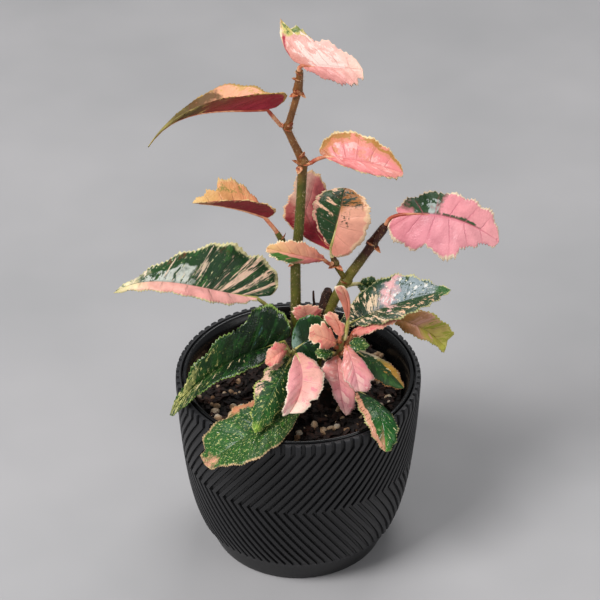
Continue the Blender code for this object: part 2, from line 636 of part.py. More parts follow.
leaf("leaf_fork_short", pink, [(26, -18, 141), (30, -29, 135.5), (33, -37, 125)],
     Half((39, -29, 131.5), 0.5, 0.10, 0.6), Half((25, -35, 133.5), 0.5, 0.03, 0.5),
     grows=(SIDE_SHOOT, 131), bend=(26, -14.5, 135), rows=10)
leaf("leaf_tuft", speckled, [(28, -14, 138.5), (32, -13, 138.5), (39, -12, 137.5)],
     Half((32, -9, 140.5), 0.5, 0.08, 0.6), Half((32, -17, 136.5), 0.5, 0.08, 0.6),
     grows=(SIDE_SHOOT, 131.5), bend=(28.5, -9.5, 134.5), rows=7)
leaf("leaf_speck", speckled, [(19, -17, 136), (15, -19, 138), (9, -21, 139.5)],
     Half((14, -23, 136), 0.5, 0.05, 0.5), Half((14, -17.5, 139.5), 0.5, 0.05, 0.5),
     grows=(SIDE_SHOOT, 129), bend=(18.5, -12, 133), rows=7)
leaf("leaf_fork_long", pink, [(21.5, -14, 131.5), (22.5, -25, 122), (26, -34, 106)],
     Half((31, -25, 118), 0.55, 0.0, 0.7), Half((14, -25, 129), 0.4, 0.02, 0.1),
     grows=(SIDE_SHOOT, 121), bend=(21.5, -14, 126), rows=12)
leaf("leaf_edge_right", green, [(32, -12, 133.6), (44, -18, 126.6), (58, -22, 115.6)],
     Half((48, -9, 124.6), 0.5, 0.08, 0.6), Half((39, -23, 124.6), 0.5, 0.08, 0.5),
     grows=(SIDE_SHOOT, 118), bend=(30, -10, 125), rows=10)
leaf("leaf_rim_right", green, [(33, -22, 113.5), (43, -48, 120), (47, -66, 106)],
     Half((51.5, -49, 115.8), 0.5, 0.12, 0.6), Half((34, -49, 119.6), 0.5, 0.05, 0.5),
     grows=(SIDE_SHOOT, 110), bend=(28, -14, 111), rows=12)
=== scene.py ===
import math
import random
from collections import namedtuple

import bmesh
import bpy
from mathutils import Matrix, Vector, noise


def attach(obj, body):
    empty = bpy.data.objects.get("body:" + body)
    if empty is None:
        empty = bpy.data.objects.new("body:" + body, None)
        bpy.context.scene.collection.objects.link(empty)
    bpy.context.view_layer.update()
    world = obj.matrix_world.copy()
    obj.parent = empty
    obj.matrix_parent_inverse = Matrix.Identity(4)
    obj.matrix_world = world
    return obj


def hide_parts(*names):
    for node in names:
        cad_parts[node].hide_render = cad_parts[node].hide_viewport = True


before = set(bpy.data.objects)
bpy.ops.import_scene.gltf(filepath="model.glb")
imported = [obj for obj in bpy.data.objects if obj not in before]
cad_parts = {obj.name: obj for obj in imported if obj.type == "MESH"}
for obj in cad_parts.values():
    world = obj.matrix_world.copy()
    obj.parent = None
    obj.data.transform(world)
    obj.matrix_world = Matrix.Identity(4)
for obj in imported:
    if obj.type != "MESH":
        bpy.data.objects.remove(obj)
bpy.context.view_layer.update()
MM = 0.001


# Cachepot: a cast cup of black stoneware with a herringbone of flat ribs cut
# in its side. The ribs slant one way above the chevron line and the other way
# below it. A plain band stands at the foot and a flat ring closes the top.

RIBS = 78
COLUMNS_PER_RIB = 12
RIB_DEPTH = 1.4
CHEVRON_HEIGHT = 62.0
RIB_TURN_HEIGHT = 105.0
FOOT_HEIGHT = 16.0
CACHEPOT_ROWS = [
    (0.0, 5.0, 0.0), (44.0, 5.0, 0.0), (46.6, 6.5, 0.0), (62.7, 106.4, 0.0), (65.3, 106.5, 0.0),
    (65.4, 110.4, 0.0), (65.7, 110.9, 0.0), (66.1, 111.0, 0.0), (66.5, 111.0, 0.0),
    (68.1, 110.8, 1.1), (68.5, 110.2, 1.1), (68.6, 107.5, 1.0), (68.6, 105.0, 1.0),
]
RIBBED_SIDE = [
    (68.6, 105.0), (67.6, 84.0), (65.8, 62.0), (63.6, 44.0), (60.4, 28.0), (56.8, 16.9),
]
CACHEPOT_FOOT = [
    (56.2, 16.5, 0.6), (55.4, 16.2, 0.1), (54.9, 15.4, 0.0), (53.5, 12.0, 0.0), (51.9, 8.0, 0.0),
    (50.2, 4.0, 0.0), (49.0, 1.3, 0.0), (48.2, 0.3, 0.0), (47.4, 0.0, 0.0), (0.0, 0.0, 0.0),
]


def colour(code):
    """A sRGB hex colour as the linear colour that a socket takes."""
    parts = [int(code[i:i + 2], 16) / 255.0 for i in (1, 3, 5)]
    linear = [p / 12.92 if p <= 0.04045 else ((p + 0.055) / 1.055) ** 2.4 for p in parts]
    return (*linear, 1.0)


def new_material(name):
    """A node material that holds only its output, and its node tree."""
    material = bpy.data.materials.new(name)
    material.use_nodes = True
    tree = material.node_tree
    tree.nodes.clear()
    tree.nodes.new("ShaderNodeOutputMaterial")
    return material, tree


def add_node(tree, kind, inputs=None, stops=None, **settings):
    """A node with its settings, its input values or links, and ramp stops."""
    node = tree.nodes.new(kind)
    for key, value in settings.items():
        setattr(node, key, value)
    if stops:
        elements = node.color_ramp.elements
        while len(elements) < len(stops):
            elements.new(0.5)
        for element, (place, shade) in zip(elements, stops):
            element.position = place
            element.color = colour(shade) if isinstance(shade, str) else (shade,) * 3 + (1.0,)
    for socket, value in (inputs or {}).items():
        if isinstance(value, bpy.types.NodeSocket):
            tree.links.new(value, node.inputs[socket])
        else:
            node.inputs[socket].default_value = value
    return node


def finish_material(tree, base, roughness, bump, **values):
    """The Principled shader on the output, with constant values on its sockets."""
    inputs = {"Base Color": base, "Roughness": roughness, "Normal": bump}
    for key, value in values.items():
        inputs[key.replace("_", " ")] = value
    shader = add_node(tree, "ShaderNodeBsdfPrincipled", inputs)
    tree.links.new(shader.outputs["BSDF"], tree.nodes["Material Output"].inputs["Surface"])


def add_piece(name, bm, material, sharp=40.0):
    """A smooth mesh object from a bmesh, with sharp edges above an angle."""
    mesh = bpy.data.meshes.new(name)
    bm.to_mesh(mesh)
    bm.free()
    mesh.materials.append(material)
    mesh.shade_smooth()
    mesh.set_sharp_from_angle(angle=math.radians(sharp))
    piece = bpy.data.objects.new(name, mesh)
    bpy.context.scene.collection.objects.link(piece)
    return piece


def turned_grid(columns, rows, relief):
    """A closed turned bmesh from (radius, height, share, twist) rows."""
    bm = bmesh.new()
    bmesh.ops.create_grid(bm, x_segments=columns, y_segments=len(rows) - 1, size=1.0)
    for vert in bm.verts:
        column = round((vert.co.x + 1.0) / 2.0 * columns)
        row = round((vert.co.y + 1.0) / 2.0 * (len(rows) - 1))
        radius, height, share, twist = rows[row]
        angle = math.radians(column * 360.0 / columns + twist)
        reach = radius - share * relief(column)
        vert.co = Vector((reach * math.sin(angle), -reach * math.cos(angle), height)) * MM
    bmesh.ops.remove_doubles(bm, verts=bm.verts, dist=0.002 * MM)
    bmesh.ops.recalc_face_normals(bm, faces=bm.faces)
    return bm


def through(points, steps):
    """Points on a smooth line through the given ones, any numbers in each."""
    line = []
    last = len(points) - 1
    for i in range(last):
        a = points[max(i - 1, 0)]
        b = points[i]
        c = points[i + 1]
        d = points[min(i + 2, last)]
        for step in range(steps):
            t = step / steps
            line.append(tuple(
                0.5 * (2 * q + (r - p) * t + (2 * p - 5 * q + 4 * r - s) * t * t
                       + (3 * q - p - 3 * r + s) * t ** 3)
                for p, q, r, s in zip(a, b, c, d)))
    line.append(tuple(points[last]))
    return line


def rib_relief(column):
    """Depth of the groove at a column: flat ribs between narrow grooves."""
    apart = abs((column % COLUMNS_PER_RIB) - COLUMNS_PER_RIB / 2) / COLUMNS_PER_RIB
    return RIB_DEPTH * min(1.0, max(0.0, (0.25 - apart) / 0.08))


def cachepot_rows():
    """The cup's rows from the inside floor over the rim to the base's centre."""
    rows = [(radius, height, share, 0.0) for radius, height, share in CACHEPOT_ROWS]
    for radius, height in through(RIBBED_SIDE, 6)[1:]:
        if height >= CHEVRON_HEIGHT:
            twist = -27.0 * (RIB_TURN_HEIGHT - height) / (RIB_TURN_HEIGHT - CHEVRON_HEIGHT)
        else:
            part = (CHEVRON_HEIGHT - height) / (CHEVRON_HEIGHT - FOOT_HEIGHT)
            twist = -27.0 + 28.0 * part
        rows.append((radius, height, 1.0, twist))
    rows += [(radius, height, share, twist) for radius, height, share in CACHEPOT_FOOT]
    return rows


# Stoneware, cast and stained black, unglazed: dull charcoal faces with a fine
# dusty grain, and a little paler along the sharp rib edges.
stoneware, tree = new_material("stoneware_cast_matt_black")
spot = add_node(tree, "ShaderNodeTexCoord").outputs["Object"]
dust = add_node(tree, "ShaderNodeTexNoise", {
    "Vector": spot, "Scale": 1000 / 22.0, "Detail": 6.0, "Roughness": 0.65})
grain = add_node(tree, "ShaderNodeTexNoise", {
    "Vector": spot, "Scale": 1000 / 0.7, "Detail": 3.0, "Roughness": 0.6})
worn = add_node(tree, "ShaderNodeNewGeometry").outputs["Pointiness"]
edges = add_node(tree, "ShaderNodeValToRGB", {"Fac": worn}, [(0.50, 0.0), (0.60, 1.0)])
shade = add_node(tree, "ShaderNodeValToRGB", {"Fac": dust.outputs["Fac"]}, [
    (0.30, "#0a0a0b"), (0.55, "#0f0f11"), (0.80, "#161618")])
# Paler colour on the sharp rib edges, picked out by pointiness.
ridge_paler = add_node(tree, "ShaderNodeMix", {
    0: edges.outputs["Color"], 6: shade.outputs["Color"], 7: colour("#232327")},
    data_type="RGBA")
rough = add_node(tree, "ShaderNodeMapRange", {
    "Value": dust.outputs["Fac"], "To Min": 0.42, "To Max": 0.58})
bump = add_node(tree, "ShaderNodeBump", {
    "Height": grain.outputs["Fac"], "Distance": 0.00012, "Strength": 0.5})
finish_material(tree, ridge_paler.outputs[2], rough.outputs["Result"], bump.outputs["Normal"], IOR=1.5)

cachepot = add_piece(
    "cachepot_stoneware", turned_grid(RIBS * COLUMNS_PER_RIB, cachepot_rows(), rib_relief),
    stoneware, sharp=48.0)
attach(cachepot, "root")
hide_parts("cachepot")


# Nursery pot: a thin cup of injection-moulded polypropylene, gloss black. It
# drops into the cachepot and hangs there by its rolled lip, which catches the
# light along the front.

NURSERY_FLOOR = 8.0
LIP_LOW = 106.8
NURSERY_PROFILE = [
    (0.0, 9.4), (40.0, 9.4), (41.6, 9.7), (60.3, 105.4), (60.6, 107.2), (61.7, 109.2),
    (62.4, 110.5), (62.9, 111.1), (63.5, 111.35), (64.1, 111.2), (64.5, 110.8), (64.7, 110.2),
    (64.7, 107.3), (64.5, 106.9), (64.1, 106.8), (61.8, 106.8), (61.5, 106.4), (43.0, 9.5),
    (42.4, 8.3), (41.6, 8.0), (0.0, 8.0),
]


def nursery_radius(height):
    """Outer radius of the nursery pot's straight wall at a height."""
    return 42.5 + 19.1 * (height - NURSERY_FLOOR) / (LIP_LOW - NURSERY_FLOOR)


# Polypropylene, moulded and polished: near black, with a soft even gloss, a
# faint orange-peel bump and dull smears of dried water inside the lip.
polypropylene, tree = new_material("polypropylene_moulded_gloss_black")
spot = add_node(tree, "ShaderNodeTexCoord").outputs["Object"]
smear = add_node(tree, "ShaderNodeTexNoise", {
    "Vector": spot, "Scale": 1000 / 14.0, "Detail": 5.0, "Roughness": 0.7})
peel = add_node(tree, "ShaderNodeTexNoise", {"Vector": spot, "Scale": 1000 / 1.6, "Detail": 2.0})
shade = add_node(tree, "ShaderNodeValToRGB", {"Fac": smear.outputs["Fac"]}, [
    (0.35, "#070708"), (0.65, "#0c0c0d"), (0.85, "#1a1916")])
rough = add_node(tree, "ShaderNodeMapRange", {
    "Value": smear.outputs["Fac"], "From Min": 0.3, "From Max": 0.8, "To Min": 0.13, "To Max": 0.4})
bump = add_node(tree, "ShaderNodeBump", {
    "Height": peel.outputs["Fac"], "Distance": 0.00005, "Strength": 0.4})
finish_material(tree, shade.outputs["Color"], rough.outputs["Result"], bump.outputs["Normal"],
                IOR=1.49)

nursery_rows = [(radius, height, 0.0, 0.0) for radius, height in NURSERY_PROFILE]
nursery_pot = add_piece(
    "nursery_pot_moulded", turned_grid(144, nursery_rows, lambda column: 0.0), polypropylene)
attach(nursery_pot, "root")
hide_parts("nursery_pot")


# Canes: the begonia's main cane with a left shoot, the right cane with the
# shoot under the fan leaf, a cut-back stub and a dead twig, and two young
# shoots in front. They grow from the mix, ringed at each leaf node, with
# papery stipules and short hairs. Points are (x, y, z, radius).

SOIL_HEIGHT = 99.0
MAIN_CANE = [
    (-0.5, 3, 83, 3.0), (-0.7, 3, 108, 3.0), (-1.3, 3, 150, 2.9), (-1.5, 3, 181, 2.8),
    (-1.3, 3, 184, 3.3), (-1.0, 3, 187, 2.8), (0.4, 3, 205, 2.7), (2.2, 3, 240, 2.5),
    (2.5, 3, 246, 3.1), (1.0, 3, 250, 2.3), (-4.6, 2, 264, 2.0), (-5.6, 2, 268, 2.6),
    (-4.6, 1, 272, 1.9), (-0.8, 1, 287, 1.9), (-0.2, 1, 291, 2.5), (0.8, 0, 300, 1.9),
    (0.6, 0, 303, 2.0),
]
LEFT_SHOOT = [(-1.3, 2, 184, 1.5), (-6.4, -1, 195, 1.4), (-8.8, -2, 200, 1.8), (-11.4, -2, 205, 1.4)]
RIGHT_CANE = [
    (8.5, 2, 83, 2.8), (9.5, 2, 109, 2.8), (13, 3, 134, 2.8), (18.6, 5, 153, 2.7),
    (25.0, 6, 167, 2.9), (26.4, 6, 169, 3.3), (28, 6, 172, 2.8), (38.5, 5, 190, 2.6),
    (40, 5, 193, 3.2), (41.5, 5, 196, 2.7), (45.5, 4, 203, 2.5), (47.0, 4, 206, 1.7),
]
FAN_SHOOT = [(26, 6, 169, 1.7), (21.8, 3, 178, 1.5), (20.2, 3, 182, 1.9), (18.6, 3, 186, 1.4)]
FRONT_SHOOT = [(-2, -5, 83, 1.7), (-2, -6, 106, 1.6), (-2, -7, 126, 1.5), (-2, -7, 131, 1.3)]
SIDE_SHOOT = [
    (19, -5, 83, 1.8), (20, -7, 108, 1.7), (22, -9, 128, 1.6), (23.5, -8.5, 136, 1.5),
    (25, -6.5, 141, 1.3),
]
OLD_STUB = [(12.4, 5, 139, 2.2), (13.6, 7, 147, 3.0), (15.8, 8, 157, 3.0), (16.4, 8, 161, 2.0)]
DEAD_TWIG = [(13, 6.5, 141, 0.9), (9.9, 8, 146, 0.8), (8.6, 8, 153, 0.7), (8.3, 8, 160, 0.5)]


def tube_into(bm, points, sides=6):
    """Adds a closed tube through (x, y, z, radius) points to a bmesh."""
    data = bpy.data.curves.new("route", "CURVE")
    data.dimensions = "3D"
    data.bevel_depth = MM
    data.bevel_resolution = sides
    data.use_fill_caps = True
    spline = data.splines.new("POLY")
    spline.points.add(len(points) - 1)
    for knot, (x, y, z, radius) in zip(spline.points, points):
        knot.co = (x * MM, y * MM, z * MM, 1.0)
        knot.radius = radius
    curve = bpy.data.objects.new("route", data)
    bpy.context.scene.collection.objects.link(curve)
    bpy.context.view_layer.update()
    shown = curve.evaluated_get(bpy.context.evaluated_depsgraph_get())
    bm.from_mesh(bpy.data.meshes.new_from_object(shown))
    bpy.data.objects.remove(curve, do_unlink=True)


def ringed(points, rings):
    """The points with a fine ring scar raised at each ring's height."""
    line = []
    for x, y, z, radius in through(points, 8):
        scar = sum(0.28 * math.exp(-((z - ring) / 0.7) ** 2) for ring in rings)
        uneven = 0.10 * noise.noise(Vector((x, y, z)) * 0.25)
        line.append((x, y, z, radius + scar + uneven))
    return line


def stipule_into(bm, root, tip, width):
    """Adds one thin pointed scale, cupped along its length, to a bmesh."""
    way = Vector(tip) - Vector(root)
    scale = bmesh.new()
    bmesh.ops.create_cone(
        scale, cap_ends=True, segments=12, radius1=0.5 * width, radius2=0.4 * width,
        depth=way.length)
    uprights = [edge for edge in scale.edges if edge.calc_length() > 0.7 * way.length]
    bmesh.ops.subdivide_edges(scale, edges=uprights, cuts=6, use_grid_fill=True)
    for vert in scale.verts:
        share = vert.co.z / way.length + 0.5
        swell = 0.10 + 1.15 * math.sin(math.pi * (0.12 + 0.86 * share)) ** 0.8 * (1.0 - 0.4 * share)
        x = vert.co.x * swell
        cup = 0.5 * (x / width) ** 2 * width + 0.8 * share * share
        vert.co = Vector((x, vert.co.y * 0.24 * swell + cup, vert.co.z))
    turn = way.to_track_quat("Z", "Y").to_matrix().to_4x4()
    place = Matrix.Translation((Vector(root) + Vector(tip)) / 2) @ turn
    bmesh.ops.transform(scale, matrix=Matrix.Scale(MM, 4) @ place, verts=scale.verts)
    mesh = bpy.data.meshes.new("scale")
    scale.to_mesh(mesh)
    scale.free()
    bm.from_mesh(mesh)
    bpy.data.meshes.remove(mesh)


def hairs_into(bm, rng, route, per_mm, long):
    """Adds short outward hairs, each a three-sided spike, to a bmesh."""
    for low, high in zip(route, route[1:]):
        a = Vector(low[:3])
        b = Vector(high[:3])
        axis = (b - a).normalized()
        count = int((b - a).length * per_mm + rng.random())
        for _ in range(count):
            share = rng.random()
            out = Vector((rng.gauss(0, 1), rng.gauss(0, 1), rng.gauss(0, 1)))
            out = (out - axis * out.dot(axis)).normalized()
            radius = low[3] + (high[3] - low[3]) * share
            way = (out + axis * rng.uniform(-0.3, 0.5)).normalized()
            length = long * rng.uniform(0.6, 1.1)
            middle = a.lerp(b, share) + out * (radius - 0.1) + way * (length / 2)
            turn = way.to_track_quat("Z", "Y").to_matrix().to_4x4()
            place = Matrix.Scale(MM, 4) @ Matrix.Translation(middle) @ turn
            bmesh.ops.create_cone(
                bm, cap_ends=True, segments=3, radius1=0.08, radius2=0.02, depth=length,
                matrix=place)


def cane_material(name, low, high, span, young, speck):
    """Skin of a cane, from its low to its young colour over a span of heights."""
    made, tree = new_material(name)
    spot = add_node(tree, "ShaderNodeTexCoord").outputs["Object"]
    height = add_node(tree, "ShaderNodeSeparateXYZ", {"Vector": spot}).outputs["Z"]
    cloud = add_node(tree, "ShaderNodeTexNoise", {
        "Vector": spot, "Scale": 1000 / 9.0, "Detail": 4.0, "Roughness": 0.6})
    waver = add_node(tree, "ShaderNodeMath", {
        0: cloud.outputs["Fac"], 1: 0.03, 2: height}, operation="MULTIPLY_ADD")
    rise = add_node(tree, "ShaderNodeMapRange", {
        "Value": waver.outputs[0], "From Min": span[0] * MM, "From Max": span[1] * MM})
    body = add_node(tree, "ShaderNodeValToRGB", {"Fac": rise.outputs["Result"]}, [
        (0.0, low), (0.12, high), (0.74, high), (0.86, young)])
    drawn = add_node(tree, "ShaderNodeMapping", {"Vector": spot, "Scale": (1.0, 1.0, 0.35)})
    dots = add_node(tree, "ShaderNodeTexVoronoi", {
        "Vector": drawn.outputs["Vector"], "Scale": 1000 / 1.3, "Randomness": 1.0})
    dotted = add_node(tree, "ShaderNodeValToRGB", {"Fac": dots.outputs["Distance"]}, [
        (0.12, 1.0), (0.24, 0.0)])
    patchy = add_node(tree, "ShaderNodeMath", {
        0: dotted.outputs["Color"], 1: cloud.outputs["Fac"]}, operation="MULTIPLY")
    mixed = add_node(tree, "ShaderNodeMix", {
        0: patchy.outputs[0], 6: body.outputs["Color"], 7: colour(speck)}, data_type="RGBA")
    shade = add_node(tree, "ShaderNodeMapRange", {
        "Value": cloud.outputs["Fac"], "From Min": 0.3, "From Max": 0.7, "To Min": 0.62,
        "To Max": 1.15})
    toned = add_node(tree, "ShaderNodeMix", {
        0: 1.0, 6: mixed.outputs[2], 7: shade.outputs["Result"]},
        data_type="RGBA", blend_type="MULTIPLY")
    bump = add_node(tree, "ShaderNodeBump", {
        "Height": dots.outputs["Distance"], "Distance": 0.00025, "Strength": 0.6})
    finish_material(tree, toned.outputs[2], 0.5, bump.outputs["Normal"], IOR=1.45)
    return made


# Living cane skin, grown: olive with pale and rusty specks, darker and
# browner below, with a low waxy shine broken by fine bumps.
olive_skin = cane_material(
    "cane_skin_grown_olive", "#3c3416", "#5b5c1c", (125.0, 288.0), "#85562c", "#b59a62")
red_skin = cane_material(
    "cane_skin_grown_red_brown", "#3f3218", "#77702a", (125.0, 213.0), "#4a2012", "#b59a5c")
shoot_skin = cane_material(
    "shoot_skin_grown_pale_green", "#5f4420", "#8f8d48", (100.0, 140.0), "#a79f5c", "#cfc088")

# Stipules and bud scales, dried on the plant: thin papery tan and rust flakes
# with darker streaks, which read as ragged collars at the nodes.
papery, tree = new_material("stipule_dried_papery_rust")
spot = add_node(tree, "ShaderNodeTexCoord").outputs["Object"]
cloud = add_node(tree, "ShaderNodeTexNoise", {
    "Vector": spot, "Scale": 1000 / 2.2, "Detail": 4.0, "Roughness": 0.7})
shade = add_node(tree, "ShaderNodeValToRGB", {"Fac": cloud.outputs["Fac"]}, [
    (0.34, "#5a2416"), (0.47, "#a5532f"), (0.57, "#cf8f62"), (0.70, "#e6cfa6")])
bump = add_node(tree, "ShaderNodeBump", {
    "Height": cloud.outputs["Fac"], "Distance": 0.0002, "Strength": 0.7})
finish_material(tree, shade.outputs["Color"], 0.6, bump.outputs["Normal"], IOR=1.45)

# Plant hairs, grown: translucent tips that read as a pale fuzz on the skin.
downy, tree = new_material("hair_grown_pale_rust")
spot = add_node(tree, "ShaderNodeTexCoord").outputs["Object"]
cloud = add_node(tree, "ShaderNodeTexNoise", {"Vector": spot, "Scale": 1000 / 5.0, "Detail": 2.0})
shade = add_node(tree, "ShaderNodeValToRGB", {"Fac": cloud.outputs["Fac"]}, [
    (0.35, "#b5845c"), (0.65, "#e6d3b4")])
bump = add_node(tree, "ShaderNodeBump", {
    "Height": cloud.outputs["Fac"], "Distance": 0.00005, "Strength": 0.3})
finish_material(tree, shade.outputs["Color"], 0.55, bump.outputs["Normal"], IOR=1.45)

# Dead wood, dried and shrunk: dark purple brown, dull and lined.
dead_wood, tree = new_material("stub_dried_dark_brown")
spot = add_node(tree, "ShaderNodeTexCoord").outputs["Object"]
drawn = add_node(tree, "ShaderNodeMapping", {"Vector": spot, "Scale": (1.0, 1.0, 0.3)})
cloud = add_node(tree, "ShaderNodeTexNoise", {
    "Vector": drawn.outputs["Vector"], "Scale": 1000 / 1.8, "Detail": 5.0, "Roughness": 0.7})
shade = add_node(tree, "ShaderNodeValToRGB", {"Fac": cloud.outputs["Fac"]}, [
    (0.35, "#1c100c"), (0.55, "#3a2018"), (0.75, "#6b4630")])
bump = add_node(tree, "ShaderNodeBump", {
    "Height": cloud.outputs["Fac"], "Distance": 0.0004, "Strength": 0.8})
finish_material(tree, shade.outputs["Color"], 0.8, bump.outputs["Normal"], IOR=1.45)


def cane(name, node, material, routes, rings, stipules):
    """A cane and its shoots as one piece, with its stipules as another."""
    bm = bmesh.new()
    for route in routes:
        tube_into(bm, ringed(route, rings))
    bmesh.ops.remove_doubles(bm, verts=bm.verts, dist=0.002 * MM)
    bmesh.ops.recalc_face_normals(bm, faces=bm.faces)
    skin = add_piece(name, bm, material, sharp=60.0)
    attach(skin, "root")
    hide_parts(node)
    if stipules:
        bm = bmesh.new()
        for root, tip, width in stipules:
            stipule_into(bm, root, tip, width)
        bmesh.ops.recalc_face_normals(bm, faces=bm.faces)
        scales = add_piece(name + "_stipules", bm, papery, sharp=60.0)
        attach(scales, "root")


cane("cane_main_skin", "cane_main", olive_skin, [MAIN_CANE, LEFT_SHOOT],
     [126, 184, 200, 246, 268, 291], [
         ((1.5, 1.0, 246), (-3.6, -1, 249), 4.6), ((1.5, 2.0, 249), (3.4, -0.6, 254), 4.2),
         ((3, 1.0, 246), (7, -1.5, 246.5), 4.0), ((1, 0.5, 245), (0, -2.6, 242), 3.8),
         ((-5, 1, 268), (-2.8, -2.4, 273), 4.4), ((-4.5, 0, 267), (-8, -3, 269), 3.8),
         ((-0.5, 0, 289), (-4.4, -2, 288), 4.4), ((0, 0.5, 288), (-1, -3.4, 293), 5.0),
         ((0.5, 0.5, 297), (-3.4, -2.5, 299), 4.6), ((1, 0, 300), (-1.6, -2.6, 303), 4.2),
         ((0, 0.5, 291), (3.4, -1, 287), 4.0), ((-1.5, 2, 184), (-5, 0, 181), 3.4),
         ((-9, -2, 200), (-6, -3, 205), 3.4)])
cane("cane_right_skin", "cane_right", red_skin, [RIGHT_CANE, FAN_SHOOT],
     [128, 169, 182, 193], [
         ((40, 3.5, 193), (36.5, 0, 197), 4.2), ((41, 4, 193), (44, 1, 189.5), 3.6),
         ((20.5, 2.5, 181), (24, -0.5, 178.5), 3.6), ((20, 2, 181), (16.5, -0.5, 180), 3.6),
         ((26, 4, 168), (22.5, 1, 170.5), 3.8)])
cane("shoot_front_skin", "shoot_front", shoot_skin, [FRONT_SHOOT], [109, 120, 127], [])
cane("shoot_side_skin", "shoot_side", shoot_skin, [SIDE_SHOOT], [110, 121, 134], [])

bm = bmesh.new()
tube_into(bm, ringed(OLD_STUB, [143, 150, 157]), sides=5)
tube_into(bm, ringed(DEAD_TWIG, []), sides=3)
bmesh.ops.recalc_face_normals(bm, faces=bm.faces)
old_stub = add_piece("old_stub_and_twig", bm, dead_wood, sharp=60.0)
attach(old_stub, "root")

rng = random.Random(21)
bm = bmesh.new()
hairs_into(bm, rng, [point for point in MAIN_CANE if point[2] > 99], 4.0, 1.4)
hairs_into(bm, rng, [point for point in RIGHT_CANE if point[2] > 99], 4.0, 1.4)
hairs_into(bm, rng, LEFT_SHOOT, 4.0, 1.2)
hairs_into(bm, rng, FAN_SHOOT, 4.0, 1.2)
hairs_into(bm, rng, OLD_STUB, 5.0, 1.6)
cane_hairs = add_piece("cane_hairs", bm, downy)
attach(cane_hairs, "root")


# Bark mix: a heap of composted bark fines that fills the nursery pot, topped
# with loose bark chips and rounded pumice grains, which lie where they fell.

GRAINS = [
    (-46, -22, 2.8), (-37, -26, 2.6), (-44, -29, 2.9), (-36, -19, 2.7), (-47, 27, 2.2),
    (-51, 20, 2.4), (-45, 31, 2.0), (14, -40, 2.9), (18, -38, 2.6), (5, -53, 2.4),
    (43, 26, 2.8), (46, 20, 2.6), (51, 14, 2.4), (45, 31, 2.2), (40, 18, 2.4),
    (50, -10, 2.4), (-20, 44, 2.4), (12, 50, 2.2),
]
SMALL_GRAINS = 170
CHIPS = 950
STEMS = [(-0.6, 3, 4.2), (9.2, 2, 4.0), (-2, -5.8, 2.8), (19.7, -6.4, 2.9)]


def soil_height(x, y):
    """Height of the bare mix at a place."""
    swell = noise.noise(Vector((x * 0.07, y * 0.07, 3.0))) * 1.6
    return SOIL_HEIGHT + swell + 2.2 * math.exp(-(x * x + y * y) / 900.0)


def scatter(rng, margin):
    """A random place on the mix, clear of the stems and the pot's wall."""
    while True:
        x = rng.uniform(-58, 58)
        y = rng.uniform(-58, 58)
        clear = all(math.hypot(x - sx, y - sy) > keep + margin for sx, sy, keep in STEMS)
        if clear and math.hypot(x, y) < 58.2 - margin:
            return x, y


# Bark fines, composted: almost black, damp and crumbly, with rusty flecks.
fines, tree = new_material("bark_fines_composted")
spot = add_node(tree, "ShaderNodeTexCoord").outputs["Object"]
crumb = add_node(tree, "ShaderNodeTexVoronoi", {"Vector": spot, "Scale": 1000 / 1.8})
cloud = add_node(tree, "ShaderNodeTexNoise", {
    "Vector": spot, "Scale": 1000 / 4.0, "Detail": 6.0, "Roughness": 0.7})
shade = add_node(tree, "ShaderNodeValToRGB", {"Fac": cloud.outputs["Fac"]}, [
    (0.35, "#090605"), (0.55, "#150d09"), (0.72, "#2c1a11")])
bump = add_node(tree, "ShaderNodeBump", {
    "Height": crumb.outputs["Distance"], "Distance": 0.0012, "Strength": 0.9})
finish_material(tree, shade.outputs["Color"], 0.85, bump.outputs["Normal"], IOR=1.4)

base = NURSERY_FLOOR + 1.7
soil_rows = [(57.6 * step / 24, 100.0, 0.0, 0.0) for step in range(25)]
soil_rows += [(nursery_radius(97.0) - 1.9, 97.0, 0.0, 0.0), (nursery_radius(60.0) - 1.9, 60.0, 0.0, 0.0)]
soil_rows += [(nursery_radius(base) - 1.9, base, 0.0, 0.0), (0.0, base, 0.0, 0.0)]
bm = turned_grid(96, soil_rows, lambda column: 0.0)
for vert in bm.verts:
    if vert.co.z > 99.0 * MM:
        x = vert.co.x / MM
        y = vert.co.y / MM
        rough_top = 1.0 * noise.noise(Vector((x, y, 0.0)) * 0.35)
        rough_top += 0.5 * noise.noise(Vector((x, y, 7.0)) * 0.8)
        vert.co.z = (soil_height(x, y) + rough_top - 0.5) * MM
soil = add_piece("bark_mix_heap", bm, fines, sharp=80.0)
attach(soil, "root")
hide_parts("soil")

# Bark chips, shredded: splintery flakes, dark brown to rust, dull and dry.
chip_bark, tree = new_material("bark_chip_shredded")
spot = add_node(tree, "ShaderNodeTexCoord").outputs["Object"]
tint = add_node(tree, "ShaderNodeTexNoise", {
    "Vector": spot, "Scale": 1000 / 7.0, "Detail": 3.0, "Roughness": 0.8})
fibre = add_node(tree, "ShaderNodeTexNoise", {
    "Vector": spot, "Scale": 1000 / 0.9, "Detail": 4.0, "Roughness": 0.7})
shade = add_node(tree, "ShaderNodeValToRGB", {"Fac": tint.outputs["Fac"]}, [
    (0.34, "#0d0807"), (0.50, "#1d100b"), (0.62, "#351d13"), (0.78, "#55321f")])
bump = add_node(tree, "ShaderNodeBump", {
    "Height": fibre.outputs["Fac"], "Distance": 0.0005, "Strength": 0.8})
finish_material(tree, shade.outputs["Color"], 0.78, bump.outputs["Normal"], IOR=1.4)

